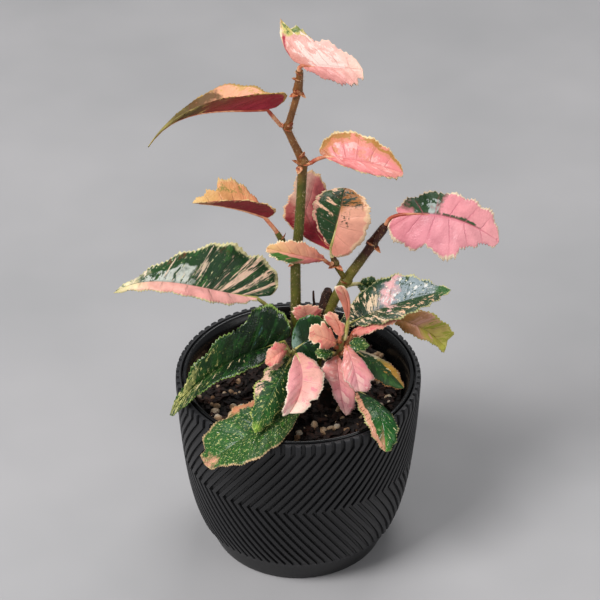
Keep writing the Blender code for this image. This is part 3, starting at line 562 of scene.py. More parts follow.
rng = random.Random(5)
bm = bmesh.new()
for index in range(CHIPS):
    size = Vector((rng.uniform(2.0, 5.5), rng.uniform(1.2, 3.2), rng.uniform(0.8, 2.0)))
    x, y = scatter(rng, 0.5 * size.length)
    lift = soil_height(x, y) + rng.uniform(-0.2, 1.6)
    turn = Matrix.Rotation(rng.uniform(0, math.tau), 4, "Z")
    lean = Matrix.Rotation(rng.gauss(0, 0.45), 4, (1, rng.uniform(-1, 1), 0))
    place = Matrix.Translation((x, y, lift)) @ turn @ lean @ Matrix.Diagonal((*size, 1))
    made = bmesh.ops.create_cube(bm, size=1.0, matrix=Matrix.Scale(MM, 4) @ place)
    for vert in made["verts"]:
        vert.co += Vector((rng.gauss(0, 0.25), rng.gauss(0, 0.25), rng.gauss(0, 0.15))) * MM
tall = Matrix.Translation((15.0, -19.0, 106.0)) @ Matrix.Rotation(0.25, 4, (1, 0.4, 0))
made = bmesh.ops.create_cube(
    bm, size=1.0, matrix=Matrix.Scale(MM, 4) @ tall @ Matrix.Diagonal((6.3, 4.3, 21.5, 1)))
tall_edges = [edge for edge in bm.edges if edge.verts[0] in made["verts"]]
bmesh.ops.subdivide_edges(bm, edges=tall_edges, cuts=3, use_grid_fill=True)
chips = add_piece("bark_chips", bm, chip_bark, sharp=30.0)
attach(chips, "root")

# Pumice, crushed and tumbled: chalky tan and off-white grains, finely pitted,
# which read as the small pale stones on the dark mix.
pumice, tree = new_material("pumice_tumbled")
spot = add_node(tree, "ShaderNodeTexCoord").outputs["Object"]
tint = add_node(tree, "ShaderNodeTexNoise", {"Vector": spot, "Scale": 1000 / 9.0, "Detail": 2.0})
pits = add_node(tree, "ShaderNodeTexNoise", {
    "Vector": spot, "Scale": 1000 / 0.6, "Detail": 4.0, "Roughness": 0.7})
shade = add_node(tree, "ShaderNodeValToRGB", {"Fac": tint.outputs["Fac"]}, [
    (0.34, "#6e5036"), (0.46, "#a98766"), (0.56, "#c9b193"), (0.68, "#e4dccd")])
# Darker in the low spots of the pits bump.
pit_darkening = add_node(tree, "ShaderNodeMapRange", {
    "Value": pits.outputs["Fac"], "From Min": 0.3, "From Max": 0.6, "To Min": 0.55, "To Max": 1.0})
pit_darkened = add_node(tree, "ShaderNodeMix", {
    0: 1.0, 6: shade.outputs["Color"], 7: pit_darkening.outputs["Result"]},
    data_type="RGBA", blend_type="MULTIPLY")
bump = add_node(tree, "ShaderNodeBump", {
    "Height": pits.outputs["Fac"], "Distance": 0.0003, "Strength": 0.7})
finish_material(tree, pit_darkened.outputs[2], 0.85, bump.outputs["Normal"], IOR=1.4)

rng = random.Random(9)
bm = bmesh.new()
stones = [(x, y, radius, 0.25) for x, y, radius in GRAINS]
for index in range(SMALL_GRAINS):
    radius = rng.uniform(0.7, 2.3)
    x, y = scatter(rng, radius)
    stones.append((x, y, radius, 0.5))
for x, y, radius, up in stones:
    turn = Matrix.Rotation(rng.uniform(0, 3), 4, (0.4, rng.uniform(-1, 1), 1))
    squash = Matrix.Diagonal((1.15, rng.uniform(0.75, 0.95), 0.8, 1))
    place = Matrix.Translation((x, y, soil_height(x, y) + radius * up)) @ turn @ squash
    made = bmesh.ops.create_icosphere(
        bm, subdivisions=2, radius=radius, matrix=Matrix.Scale(MM, 4) @ place)
    for vert in made["verts"]:
        vert.co += vert.normal * MM * radius * 0.18 * noise.noise(vert.co / MM * 0.9)
grains = add_piece("pumice_grains", bm, pumice, sharp=60.0)
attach(grains, "root")


# Leaves of the main cane. Each is one living leaf: a thin toothed blade on a
# fleshy stalk that grows from the cane at a node and runs on under the blade
# as its midrib. The young leaves at the top are pink and peach, folded along
# the midrib, and the big low one is green, marbled white, cream and pink.

BLADE = 0.55
PETIOLE = 1.1
NOTCH_START = 0.08
TOOTH_PITCH = 1.9
Half = namedtuple("Half", "reach at lobe full")
Layer = namedtuple(
    "Layer", "shade grain level stretch half low high inner outer",
    defaults=(2.5, 0, 0.0, 1.0, 0.0, 1.0))


def rib_point(rib, share):
    """The midrib's point at a share of its length, straight behind its base."""
    last = len(rib) - 1

    def along_rib(t):
        total = Vector((0, 0, 0))
        for i, point in enumerate(rib):
            weight = 1.0
            for j in range(len(rib)):
                if j != i:
                    weight *= (t * last - j) / (i - j)
            total += Vector(point) * weight
        return total

    if share >= 0.0:
        return along_rib(share)
    slope = (along_rib(0.001) - along_rib(0.0)) / 0.001
    return along_rib(0.0) + slope * share


def bezier(a, b, c, d, t):
    """A number on a cubic Bezier curve."""
    u = 1.0 - t
    return a * u ** 3 + 3 * b * u * u * t + 3 * c * u * t * t + d * t ** 3


def half_outline(half, s):
    """Share of the length and of the width at a share s along the edge."""
    if s <= 0.5:
        t = s * 2.0
        back = -1.33 * half.lobe
        along = bezier(0.0, back, back + 0.6 * max(half.at, 0.0), half.at, t)
        return along, bezier(0.0, 0.05, 1.0, 1.0, t)
    t = s * 2.0 - 1.0
    shoulder = half.at + (0.40 + 0.25 * half.full) * (1.0 - half.at)
    along = bezier(half.at, shoulder, 0.80 + 0.18 * half.full, 1.0, t)
    return along, bezier(1.0, 1.0, 0.30 + 0.65 * half.full, 0.0, t)


def edge_tooth(step, rows, fine, s):
    """Push of the edge, in tooth heights, from broad waves and fine teeth."""
    spot = s * rows
    low = math.floor(spot)
    ends = [0.0 if k <= 0 or k >= rows else (1.0 if k % 2 else -1.0) for k in (low, low + 1)]
    broad = ends[0] + (ends[1] - ends[0]) * (spot - low)
    saw = 1.0 - 2.0 * ((step % fine) / (fine - 1))
    jitter = 0.5 * noise.noise(Vector((step * 0.31, rows * 1.7, 0.0)))
    return 0.85 * broad + (0.45 + 1.3 * jitter) * saw * min(1.0, 8 * s, 8 * (1 - s))


def cut_depth(cuts, part):
    """How far the edge stands out at a share of its length, between marks."""
    marks = [(0.0, 0.0), *cuts, (1.0, 0.0)]
    for (low, a), (high, b) in zip(marks, marks[1:]):
        if low <= part <= high:
            return a + (b - a) * (part - low) / max(high - low, 0.001)
    return 0.0


def blade_bmesh(rib, left, right, rows, tooth, bow, wave, pucker, veins, cuts):
    """The blade as an open sheet with its leaf map: edge share and side."""
    middle_left = [Vector(left.reach), rib_point(rib, left.at)]
    length = (rib_point(rib, 1.0) - rib_point(rib, 0.0)).length
    width = (middle_left[0] - middle_left[1]).length
    fine = 3
    steps = max(24, fine * round((length * 1.15 + width * 0.6) / TOOTH_PITCH))
    columns = max(5, min(11, round(width / 2.0)))
    bm = bmesh.new()
    bmesh.ops.create_grid(bm, x_segments=steps, y_segments=2 * columns, size=1.0)
    leaf_map = bm.loops.layers.uv.new("leaf")
    for face in bm.faces:
        for loop in face.loops:
            loop[leaf_map].uv = ((loop.vert.co.x + 1.0) / 2.0, (loop.vert.co.y + 1.0) / 2.0)
    forward = rib_point(rib, 1.0) - rib_point(rib, 0.0)
    for vert in bm.verts:
        step = round((vert.co.x + 1.0) / 2.0 * steps)
        part = step / steps
        s = NOTCH_START + (1.0 - NOTCH_START) * part
        c = round(vert.co.y * columns) / columns
        half = left if c > 0 else right
        across = Vector(half.reach) - rib_point(rib, half.at)
        top = (forward.cross(across) * (1.0 if c > 0 else -1.0)).normalized()
        along, spread = half_outline(half, s)
        root = s ** 1.5
        share = abs(c)
        place = rib_point(rib, root + (along - root) * share) + across * (spread * share)
        side = across.normalized() + forward.normalized() * (0.8 * (s - 0.35))
        place += side * (cut_depth(cuts[0] if c > 0 else cuts[1], part) * share ** 3)
        if share > 0.8 and 0 < step < steps:
            fade = 1.0 if share == 1.0 else 0.3
            place += side * (tooth * fade * edge_tooth(step, rows, fine, part))
        lift = bow * 4.0 * share * (1.0 - share) * spread
        ripple = wave * math.sin(math.tau * (1.7 * s + 0.27 * half.lobe + 0.3 * half.at))
        lift += ripple * share * share * math.sin(math.pi * s)
        quilt = math.sin(math.pi * part * veins) ** 2 - 0.5
        crease = noise.noise(place * 0.14) + 0.5 * noise.noise(place * 0.35)
        body = min(1.0, 5.0 * share) * math.sin(math.pi * min(1.0, 1.02 * s))
        lift += pucker * body * (0.55 * quilt + 1.1 * crease)
        vert.co = (place + top * lift) * MM
    bmesh.ops.remove_doubles(bm, verts=bm.verts, dist=0.002 * MM)
    bmesh.ops.recalc_face_normals(bm, faces=bm.faces)
    return bm


def leave_stem(route, height, aim):
    """A point just off a stem's skin at a height, facing aim, and the way out."""
    if height >= route[-1][2]:
        end = Vector(route[-1][:3])
        way = (end - Vector(route[-2][:3])).normalized()
        return end + way * 0.4, way
    for low, high in zip(route, route[1:]):
        if low[2] <= height <= high[2]:
            share = (height - low[2]) / (high[2] - low[2])
            axis = (Vector(high[:3]) - Vector(low[:3])).normalized()
            centre = Vector(low[:3]).lerp(Vector(high[:3]), share)
            radius = max(low[3], high[3])
            break
    way = aim - centre
    way -= axis * way.dot(axis)
    way.normalize()
    return centre + way * (radius + 0.4), way


def stalk_route(rib, grows, bend):
    """The stalk's points from the stem's skin to the tip of the midrib."""
    inner = rib_point(rib, 0.0)
    bend = Vector(bend)
    start, way = leave_stem(*grows, bend)
    points = [(*(start - way * 0.3), PETIOLE * 1.15)]
    start = start + way * 1.0
    for step in range(8):
        t = step / 8
        place = start * (1 - t) ** 2 + bend * (2 * t * (1 - t)) + inner * t * t
        points.append((*place, PETIOLE * (1.05 - 0.1 * t)))
    points.append((*inner, PETIOLE * 0.85))
    for step in range(1, 13):
        t = step / 13
        x, y, z = rib_point(rib, t)
        points.append((x, y, z - 0.35 * min(1.0, 6 * t), 0.60 * (1 - t) ** 2 + 0.20))
    return points


def blade_material(name, rib, left, edge, halves, layers=(), veined="#c8606a", vein=0.4,
                   rough=0.42, edge_at=0.94, veins=7):
    """Skin of a blade, laid out on the leaf map in true millimetres.

    Each half has colour stops from base to tip. Layers are marbling, and on
    some blades a painted sheen, each of a grain size, cut at a noise level,
    drawn out along the veins by stretch, on one half (1 left, -1 right, 0 both),
    from a low to a high edge share and from an inner to an outer share of the way from midrib to edge.
    """
    length = (rib_point(rib, 1.0) - rib_point(rib, 0.0)).length * 1.2
    width = 2.0 * (Vector(left.reach) - rib_point(rib, left.at)).length
    made, tree = new_material(name)
    spot = add_node(tree, "ShaderNodeTexCoord").outputs["Object"]
    laid = add_node(tree, "ShaderNodeUVMap", uv_map="leaf").outputs["UV"]
    split = add_node(tree, "ShaderNodeSeparateXYZ", {"Vector": laid})
    along = split.outputs["X"]
    signed = add_node(tree, "ShaderNodeMath", {
        0: split.outputs["Y"], 1: 2.0, 2: -1.0}, operation="MULTIPLY_ADD").outputs[0]
    out = add_node(tree, "ShaderNodeMath", {0: signed}, operation="ABSOLUTE").outputs[0]
    on_left = add_node(tree, "ShaderNodeMath", {
        0: signed, 1: 0.0}, operation="GREATER_THAN").outputs[0]
    cloud = add_node(tree, "ShaderNodeTexNoise", {
        "Vector": spot, "Scale": 1000 / 7.0, "Detail": 4.0, "Roughness": 0.6}).outputs["Fac"]
    waver = add_node(tree, "ShaderNodeMath", {
        0: cloud, 1: 0.36, 2: along}, operation="MULTIPLY_ADD").outputs[0]
    waver = add_node(tree, "ShaderNodeMath", {0: waver, 1: 0.18}, operation="SUBTRACT").outputs[0]
    sides = [add_node(tree, "ShaderNodeValToRGB", {"Fac": waver}, stops).outputs["Color"]
             for stops in halves]
    body = add_node(tree, "ShaderNodeMix", {
        0: on_left, 6: sides[-1], 7: sides[0]}, data_type="RGBA").outputs[2]
    mottle = add_node(tree, "ShaderNodeMapRange", {
        "Value": cloud, "From Min": 0.3, "From Max": 0.7, "To Min": 0.84, "To Max": 1.12})
    body = add_node(tree, "ShaderNodeMix", {
        0: 1.0, 6: body, 7: mottle.outputs["Result"]},
        data_type="RGBA", blend_type="MULTIPLY").outputs[2]
    for index, layer in enumerate(layers):
        scale = (length / layer.grain, width / (layer.grain * layer.stretch), 1.0)
        drawn = add_node(tree, "ShaderNodeMapping", {
            "Vector": laid, "Scale": scale, "Location": (3.7 * index, 1.9 * index, 0.0)})
        patch = add_node(tree, "ShaderNodeTexNoise", {
            "Vector": drawn.outputs["Vector"], "Scale": 1.0, "Detail": 6.0, "Roughness": 0.72})
        cut = add_node(tree, "ShaderNodeMapRange", {
            "Value": patch.outputs["Fac"], "From Min": layer.level, "From Max": layer.level + 0.03},
            interpolation_type="SMOOTHSTEP").outputs["Result"]
        if layer.low > 0.0 or layer.high < 1.0:
            rise = add_node(tree, "ShaderNodeValToRGB", {"Fac": waver}, [
                (max(0.0, layer.low - 0.04), 0.0 if layer.low > 0 else 1.0),
                (layer.low + 0.04, 1.0),
                (layer.high - 0.04, 1.0),
                (min(1.0, layer.high + 0.04), 0.0 if layer.high < 1 else 1.0)])
            cut = add_node(tree, "ShaderNodeMath", {
                0: cut, 1: rise.outputs["Color"]}, operation="MULTIPLY").outputs[0]
        if layer.inner > 0.0 or layer.outer < 1.0:
            band = add_node(tree, "ShaderNodeMath", {
                0: cloud, 1: 0.5, 2: out}, operation="MULTIPLY_ADD").outputs[0]
            band = add_node(tree, "ShaderNodeMath", {0: band, 1: 0.25}, operation="SUBTRACT")
            across = add_node(tree, "ShaderNodeValToRGB", {"Fac": band.outputs[0]}, [
                (max(0.0, layer.inner - 0.03), 0.0 if layer.inner > 0 else 1.0),
                (layer.inner + 0.03, 1.0),
                (layer.outer - 0.03, 1.0),
                (min(1.0, layer.outer + 0.03), 0.0 if layer.outer < 1 else 1.0)])
            cut = add_node(tree, "ShaderNodeMath", {
                0: cut, 1: across.outputs["Color"]}, operation="MULTIPLY").outputs[0]
        if layer.half:
            own = add_node(tree, "ShaderNodeMath", {
                0: signed, 1: 0.0}, operation="GREATER_THAN" if layer.half > 0 else "LESS_THAN")
            cut = add_node(tree, "ShaderNodeMath", {
                0: cut, 1: own.outputs[0]}, operation="MULTIPLY").outputs[0]
        body = add_node(tree, "ShaderNodeMix", {
            0: cut, 6: body, 7: colour(layer.shade)}, data_type="RGBA").outputs[2]
    fray = add_node(tree, "ShaderNodeMath", {
        0: cloud, 1: 0.22, 2: out}, operation="MULTIPLY_ADD").outputs[0]
    rim = add_node(tree, "ShaderNodeMapRange", {
        "Value": fray, "From Min": edge_at + 0.08, "From Max": edge_at + 0.15},
        interpolation_type="SMOOTHSTEP").outputs["Result"]
    body = add_node(tree, "ShaderNodeMix", {
        0: rim, 6: body, 7: colour(edge)}, data_type="RGBA").outputs[2]
    branch = add_node(tree, "ShaderNodeMath", {0: along, 1: float(veins)}, operation="MULTIPLY")
    branch = add_node(tree, "ShaderNodeMath", {
        0: cloud, 1: 0.30, 2: branch.outputs[0]}, operation="MULTIPLY_ADD")
    folded = add_node(tree, "ShaderNodeMath", {0: branch.outputs[0], 1: 0.5}, operation="PINGPONG")
    lines = add_node(tree, "ShaderNodeMapRange", {
        "Value": folded.outputs[0], "From Min": 0.0, "From Max": 0.075, "To Min": 1.0, "To Max": 0.0},
        interpolation_type="SMOOTHSTEP").outputs["Result"]
    spine = add_node(tree, "ShaderNodeMapRange", {
        "Value": out, "From Min": 0.02, "From Max": 0.075, "To Min": 1.0, "To Max": 0.0}).outputs["Result"]
    fading = add_node(tree, "ShaderNodeMapRange", {
        "Value": out, "From Min": 0.3, "From Max": 0.95, "To Min": 1.0, "To Max": 0.0}).outputs["Result"]
    lines = add_node(tree, "ShaderNodeMath", {0: lines, 1: fading}, operation="MULTIPLY").outputs[0]
    lines = add_node(tree, "ShaderNodeMath", {0: lines, 1: spine}, operation="MAXIMUM").outputs[0]
    inked = add_node(tree, "ShaderNodeMath", {0: lines, 1: vein}, operation="MULTIPLY").outputs[0]
    body = add_node(tree, "ShaderNodeMix", {
        0: inked, 6: body, 7: colour(veined)}, data_type="RGBA").outputs[2]
    cells = add_node(tree, "ShaderNodeTexVoronoi", {
        "Vector": spot, "Scale": 1000 / 1.5}, feature="DISTANCE_TO_EDGE").outputs["Distance"]
    cells = add_node(tree, "ShaderNodeMath", {0: cells, 1: 0.35}, operation="MINIMUM").outputs[0]
    relief = add_node(tree, "ShaderNodeMath", {
        0: lines, 1: -1.2, 2: cells}, operation="MULTIPLY_ADD").outputs[0]
    bump = add_node(tree, "ShaderNodeBump", {"Height": relief, "Distance": 0.0004, "Strength": 0.5})
    shine = add_node(tree, "ShaderNodeMapRange", {
        "Value": cloud, "From Min": 0.3, "From Max": 0.7, "To Min": rough - 0.08,
        "To Max": rough + 0.10})
    finish_material(tree, body, shine.outputs["Result"], bump.outputs["Normal"], IOR=1.42)
    return made


def stalk_material(name, low, high, streak):
    """Skin of the stalks and midribs: fleshy, translucent, finely streaked."""
    made, tree = new_material(name)
    spot = add_node(tree, "ShaderNodeTexCoord").outputs["Object"]
    cloud = add_node(tree, "ShaderNodeTexNoise", {
        "Vector": spot, "Scale": 1000 / 6.0, "Detail": 3.0, "Roughness": 0.6})
    shade = add_node(tree, "ShaderNodeValToRGB", {"Fac": cloud.outputs["Fac"]}, [
        (0.36, low), (0.52, high), (0.66, streak)])
    fine = add_node(tree, "ShaderNodeTexNoise", {"Vector": spot, "Scale": 1000 / 0.8, "Detail": 2.0})
    bump = add_node(tree, "ShaderNodeBump", {
        "Height": fine.outputs["Fac"], "Distance": 0.00015, "Strength": 0.5})
    finish_material(tree, shade.outputs["Color"], 0.42, bump.outputs["Normal"], IOR=1.42)
    return made


stalk_routes = []


def leaf(node, slot, material, stalk, rib, left, right, grows, bend, rows=12, tooth=0.8,
         bow=0.8, wave=1.0, pucker=0.35, veins=7, cuts=((), ())):
    """One leaf as two pieces: the blade that replaces its node, and the stalk."""
    bm = blade_bmesh(rib, left, right, rows, tooth, bow, wave, pucker, veins, cuts)
    blade = add_piece(node + "_blade", bm, material, sharp=75.0)
    shell = blade.modifiers.new("thickness", "SOLIDIFY")
    shell.thickness = BLADE * MM
    shell.offset = 0.0
    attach(blade, "root")
    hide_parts(node)
    bm = bmesh.new()
    route = stalk_route(rib, grows, bend)
    stalk_routes.append(route[:11])
    tube_into(bm, route, sides=3)
    bmesh.ops.recalc_face_normals(bm, faces=bm.faces)
    petiole = add_piece(node + "_stalk", bm, stalk, sharp=60.0)
    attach(petiole, "root")


# Stalks, grown: rosy flesh on the pink and peach leaves, cream green on the
# green ones, both with a moist low shine.
rosy_stalk = stalk_material("stalk_grown_rosy", "#a4452f", "#cf8561", "#e2b48a")
pale_stalk = stalk_material("stalk_grown_cream_green", "#8d8a3c", "#bdb56b", "#dccf9a")

# Top blade, young and waxy: pale pink with cream margins and green tips.
SHAPE = dict(rib=[(2, 0, 306), (18, -2, 306), (33, -6, 307)],
             left=Half((-8, 13, 323), -0.12, 0.19, 0.0), right=Half((24, -8, 300), 0.66, 0.03, 0.4))
skin = blade_material(
    "blade_top_grown_pale_pink", SHAPE["rib"], SHAPE["left"], "#ecd9b4",
    [[(0.0, "#d98e7f"), (0.3, "#e8a79b"), (0.7, "#eeb9ad"), (1.0, "#f0c6b2")],
     [(0.0, "#d68378"), (0.4, "#e59a93"), (1.0, "#f1bfae")]],
    [Layer("#c7b765", 4, 0.40, 2.0, 1, 0.36, 0.56, 0.72, 1.0),
     Layer("#4f6a2c", 2.5, 0.50, 2.0, 1, 0.38, 0.54, 0.82, 1.0),
     Layer("#a8323f", 5, 0.30, 2.0, 1, 0.05, 0.36, 0.88, 1.0),
     Layer("#f3d6cb", 7, 0.48, 2.0, 1, 0.2, 0.8, 0.0, 0.8)], veined="#d08a84", vein=0.3,
    edge_at=0.98)
leaf("leaf_top", "leaf_pink", skin, rosy_stalk, grows=(MAIN_CANE, 304), bend=(0.8, 0, 305),
     wave=1.2, tooth=1.0, cuts=(
         [(0.36, 0.5), (0.44, 2.2), (0.50, -1.5), (0.54, 0.8), (0.63, -4.2), (0.72, 0.8), (0.78, 0.2),
          (0.84, 2.2), (0.92, 1.4)],
         [(0.4, 0.0), (0.6, 1.0), (0.72, 2.5), (0.80, 0.5), (0.9, 2.6)]), **SHAPE)

# Upper left blade, folded: crimson underside near, peach far half, and a
# golden margin that turns olive brown at the drooping tip.
SHAPE = dict(rib=[(-16, -2, 281), (-38, -3, 281), (-60, -4, 277), (-78, -8, 262)],
             left=Half((-12, -12, 299), 0.03, 0.12, -0.25),
             right=Half((-31, 11, 288), 0.32, 0.10, 0.15))
skin = blade_material(
    "blade_upper_left_grown_crimson_peach", SHAPE["rib"], SHAPE["left"], "#b9924f",
    [[(0.0, "#a02034"), (0.3, "#ab2a3c"), (0.55, "#96382f"), (0.72, "#5f4a26"), (1.0, "#a39a52")],
     [(0.0, "#9a2636"), (0.16, "#a52c3c"), (0.22, "#e9a587"), (0.52, "#e2a27c"), (0.58, "#6b4a2a"),
      (0.75, "#5b4a24"), (1.0, "#a89d56")]],
    [Layer("#c79a5a", 4, 0.50, 2.0, -1, 0.2, 0.55, 0.72, 1.0),
     Layer("#c9a860", 3, 0.56, 3.0, 1, 0.62, 1.0)], veined="#6f1a28", vein=0.3)
leaf("leaf_upper_left", "leaf_peach", skin, rosy_stalk, grows=(MAIN_CANE, 269),
     bend=(-11, 0, 273), rows=14, cuts=(
         [(0.30, 0.0), (0.44, -3.0), (0.55, -5.5), (0.75, -5.0), (0.9, -2.0)],
         [(0.3, 0.6), (0.46, 0.8), (0.55, 1.0), (0.62, -2.6), (0.8, -2.8), (0.93, -1.2)]), **SHAPE)

# Upper right blade: golden orange along the far half, pink near, cream teeth.
SHAPE = dict(rib=[(14, 2, 250), (33, -4, 251), (55, -10, 247)],
             left=Half((25, 10, 261), 0.30, 0.14, 0.75),
             right=Half((40, -12, 247), 0.62, 0.03, 0.6))
skin = blade_material(
    "blade_upper_right_grown_pink_gold", SHAPE["rib"], SHAPE["left"], "#ecd2a0",
    [[(0.0, "#b9683c"), (0.25, "#cf7f50"), (0.5, "#d9806c"), (1.0, "#dc8f7c")],
     [(0.0, "#cf6a62"), (0.5, "#de7f7d"), (1.0, "#e29485")]],
    [Layer("#b07a3c", 7, 0.44, 1.5, 1, 0.05, 1.0, 0.72, 1.0),
     Layer("#e38684", 9, 0.40, 1.5, 1, 0.2, 1.0, 0.0, 0.55),
     Layer("#eba9a2", 6, 0.54, 1.5, 0, 0.2, 0.9, 0.0, 0.6)], veined="#c25f60", vein=0.35)
leaf("leaf_upper_right", "leaf_pink", skin, rosy_stalk, grows=(MAIN_CANE, 246),
     bend=(9, 3, 248), rows=14, **SHAPE)

# Left blade, folded: orange peach far half with an olive gold margin, and a
# dark crimson near half.
SHAPE = dict(rib=[(-18, -1, 214), (-35, -4, 222), (-56, -7, 227)],
             left=Half((-13, -10, 228), 0.0, 0.10, -0.1),
             right=Half((-33, 10, 228), 0.40, 0.05, 0.15))
skin = blade_material(
    "blade_left_grown_crimson_orange", SHAPE["rib"], SHAPE["left"], "#d9b47a",
    [[(0.0, "#8a1a2a"), (0.5, "#8c2430"), (0.85, "#94403a"), (1.0, "#dcae74")],
     [(0.0, "#cf7a58"), (0.35, "#d98a60"), (0.65, "#cf955c"), (0.85, "#d9aa68"), (1.0, "#e2bd7c")]],
    [Layer("#94803e", 6, 0.52, 1.6, -1, 0.4, 0.7, 0.6, 1.0),
     Layer("#e0a06c", 5, 0.52, 2.0, -1, 0.2, 0.8)], veined="#8a3a2c", vein=0.35)
leaf("leaf_left", "leaf_peach", skin, rosy_stalk, grows=(LEFT_SHOOT, 206),
     bend=(-14, -3, 210), rows=14, tooth=1.1, cuts=(
         [(0.25, -0.5), (0.45, -3.2), (0.7, -3.2), (0.9, -0.8)],
         [(0.35, 1.5), (0.5, 2.2), (0.64, 2.8), (0.70, -1.4), (0.8, 0.4)]), **SHAPE)

# Low left blade: far half green, marbled white, cream and grey blue along the
# veins with pink stripes near the stalk; near half folded up, plain pink.
SHAPE = dict(rib=[(-23, 2.5, 159.3), (-51, -5, 171), (-77, -9, 178), (-100, -10, 171)],
             left=Half((-50, -14, 169), 0.40, 0.03, 0.2),
             right=Half((-37, 12, 187.5), 0.20, 0.18, -0.45))
skin = blade_material(
    "blade_low_left_grown_marbled", SHAPE["rib"], SHAPE["left"], "#d8cf9a",
    [[(0.0, "#e8aba0"), (0.5, "#e59c94"), (0.8, "#dfa893"), (0.92, "#dcc79a"), (1.0, "#c9c080")],
     [(0.0, "#1d3f1a"), (0.5, "#1a3a1c"), (0.8, "#244a1e"), (0.95, "#e0cfa4")]],
    [Layer("#2f5a26", 5, 0.55, 1.4, -1), Layer("#5f8478", 8, 0.56, 1.6, -1, 0.5, 0.85, 0.0, 0.7),
     Layer("#c9cfc4", 7, 0.46, 2.2, -1, 0.56, 0.84, 0.0, 0.5),
     Layer("#2c4a2c", 3, 0.53, 2.2, -1, 0.55, 0.86, 0.0, 0.55),
     Layer("#e9c3a8", 4.5, 0.52, 7.0, -1, 0.10, 0.37), Layer("#e6cdb0", 4, 0.56, 4.5, -1, 0.36, 0.92),
     Layer("#1d3a1a", 4, 0.56, 2.0, -1, 0.0, 0.4),
     Layer("#5a3a22", 8, 0.47, 2.0, -1, 0.50, 0.78, 0.76, 1.0),
     Layer("#dcd9a4", 1.5, 0.61, 1.2, -1)],
    veined="#1d361a", vein=0.3, rough=0.36)
leaf("leaf_low_left", "leaf_speckled", skin, pale_stalk, grows=(MAIN_CANE, 141),
     bend=(-12, 7.5, 146), rows=16, tooth=1.1, pucker=0.6, veins=8, cuts=(
         (), [(0.22, 1.0), (0.33, 0.6), (0.38, -1.6), (0.44, 1.2), (0.54, 0.8), (0.57, -0.6),
              (0.75, 0.4)]), **SHAPE)


# Leaves of the right cane and of its side shoot: the same build. The outer
# leaf is broad and pink with a dark green patch, the fan leaves stand up
# behind the main cane, and the lowest one droops, browned at its base.

# Right blade: pink with darker radiating veins and a cream toothed margin; a
# dark green patch with grey white flecks lies on the far half by the stalk.
SHAPE = dict(rib=[(57, 2, 214), (83, -3, 214.5), (107, -10.5, 204.5)],
             left=Half((81, 10, 222), 0.48, 0.17, 0.8), right=Half((74, -12, 198), 0.38, 0.24, 0.25))
skin = blade_material(
    "blade_right_grown_pink_patched", SHAPE["rib"], SHAPE["left"], "#f0d8b8",
    [[(0.0, "#d97d84"), (0.4, "#e08a92"), (1.0, "#e59a9c")],
     [(0.0, "#da7c84"), (0.4, "#e4909a"), (1.0, "#e8a0a2")]],
    [Layer("#1f431c", 14, 0.36, 2.0, 1, 0.16, 0.43), Layer("#b3bdb6", 5, 0.52, 2.5, 1, 0.22, 0.42, 0.0, 0.6),
     Layer("#2c4a2a", 6, 0.40, 2.5, 1, 0.42, 0.78, 0.0, 0.10)],
    veined="#c2566a", vein=0.5)
leaf("leaf_right", "leaf_pink", skin, rosy_stalk, grows=(RIGHT_CANE, 207), bend=(49, 4, 212),
     rows=14, tooth=1.3, wave=1.4, pucker=0.6, cuts=(
         [(0.45, 0.0), (0.6, 1.5), (0.72, 3.2), (0.80, 6.0), (0.83, 7.2), (0.87, 4.4), (0.93, 2.6)],
         [(0.2, 0.8), (0.35, 1.2), (0.40, -3.0), (0.45, 0.6), (0.53, 2.6), (0.59, 2.2),
          (0.63, -4.2), (0.70, -2.8), (0.76, -2.2), (0.80, -4.2), (0.86, -1.2), (0.93, 0.5)]), **SHAPE)

# Back blade: a crimson underside with a pink and cream lobe at its top.
SHAPE = dict(rib=[(18, 7, 188), (6, 13, 203), (-1, 16, 229)],
             left=Half((-7, 10, 205), 0.36, 0.10, -0.2), right=Half((15, 24, 216), 0.60, 0.10, 0.7))
skin = blade_material(
    "blade_back_grown_crimson", SHAPE["rib"], SHAPE["left"], "#e3b98c",
    [[(0.0, "#8a1a28"), (0.45, "#96202f"), (0.66, "#c46a62"), (0.8, "#e6b49c"), (1.0, "#eccbb0")],
     [(0.0, "#8f1f2f"), (0.45, "#a02c3c"), (0.62, "#cf6c6c"), (0.8, "#e8b09e"), (1.0, "#eccbb0")]],
    veined="#6f1a28", vein=0.3)
leaf("leaf_back", "leaf_peach", skin, rosy_stalk, grows=(FAN_SHOOT, 182), bend=(19, 7.5, 184),
     rows=14, **SHAPE)

# Fan blade: dark green with white specks on its left, striped green, pink and
# cream at the top, and a peach lobe with a cream margin on the right.
SHAPE = dict(rib=[(18, 0, 196), (22, 2, 214), (25, 8, 227)],
             left=Half((8, 6, 217), 0.65, 0.05, 0.85), right=Half((38, -3, 210), 0.36, 0.28, 0.6))
skin = blade_material(
    "blade_fan_grown_green_peach", SHAPE["rib"], SHAPE["left"], "#ecc9a2",
    [[(0.0, "#1b391a"), (0.6, "#203f1c"), (1.0, "#33501f")],
     [(0.0, "#e2907a"), (0.3, "#e79c86"), (0.62, "#e8a78c"), (0.74, "#a5682f"), (1.0, "#8a5a2c")]],
    [Layer("#dcdcc8", 1.6, 0.62, 1.3, 1), Layer("#dd9a88", 4, 0.36, 3.0, 1, 0.0, 0.7, 0.86, 1.0),
     Layer("#e8b898", 5, 0.53, 4.5, 1, 0.50, 1.0, 0.2, 1.0), Layer("#eec09a", 6, 0.44, 3.0, -1, 0.1, 0.8, 0.86, 1.0),
     Layer("#1c2f16", 4, 0.50, 4.5, 0, 0.66, 1.0, 0.0, 0.8),
     Layer("#33351c", 1.6, 0.54, 1.3, -1, 0.42, 0.62, 0.05, 0.4)],
    veined="#b0705a", vein=0.2)
leaf("leaf_fan", "leaf_speckled", skin, pale_stalk, grows=(FAN_SHOOT, 187), bend=(18, 2, 191),
     rows=14, **SHAPE)

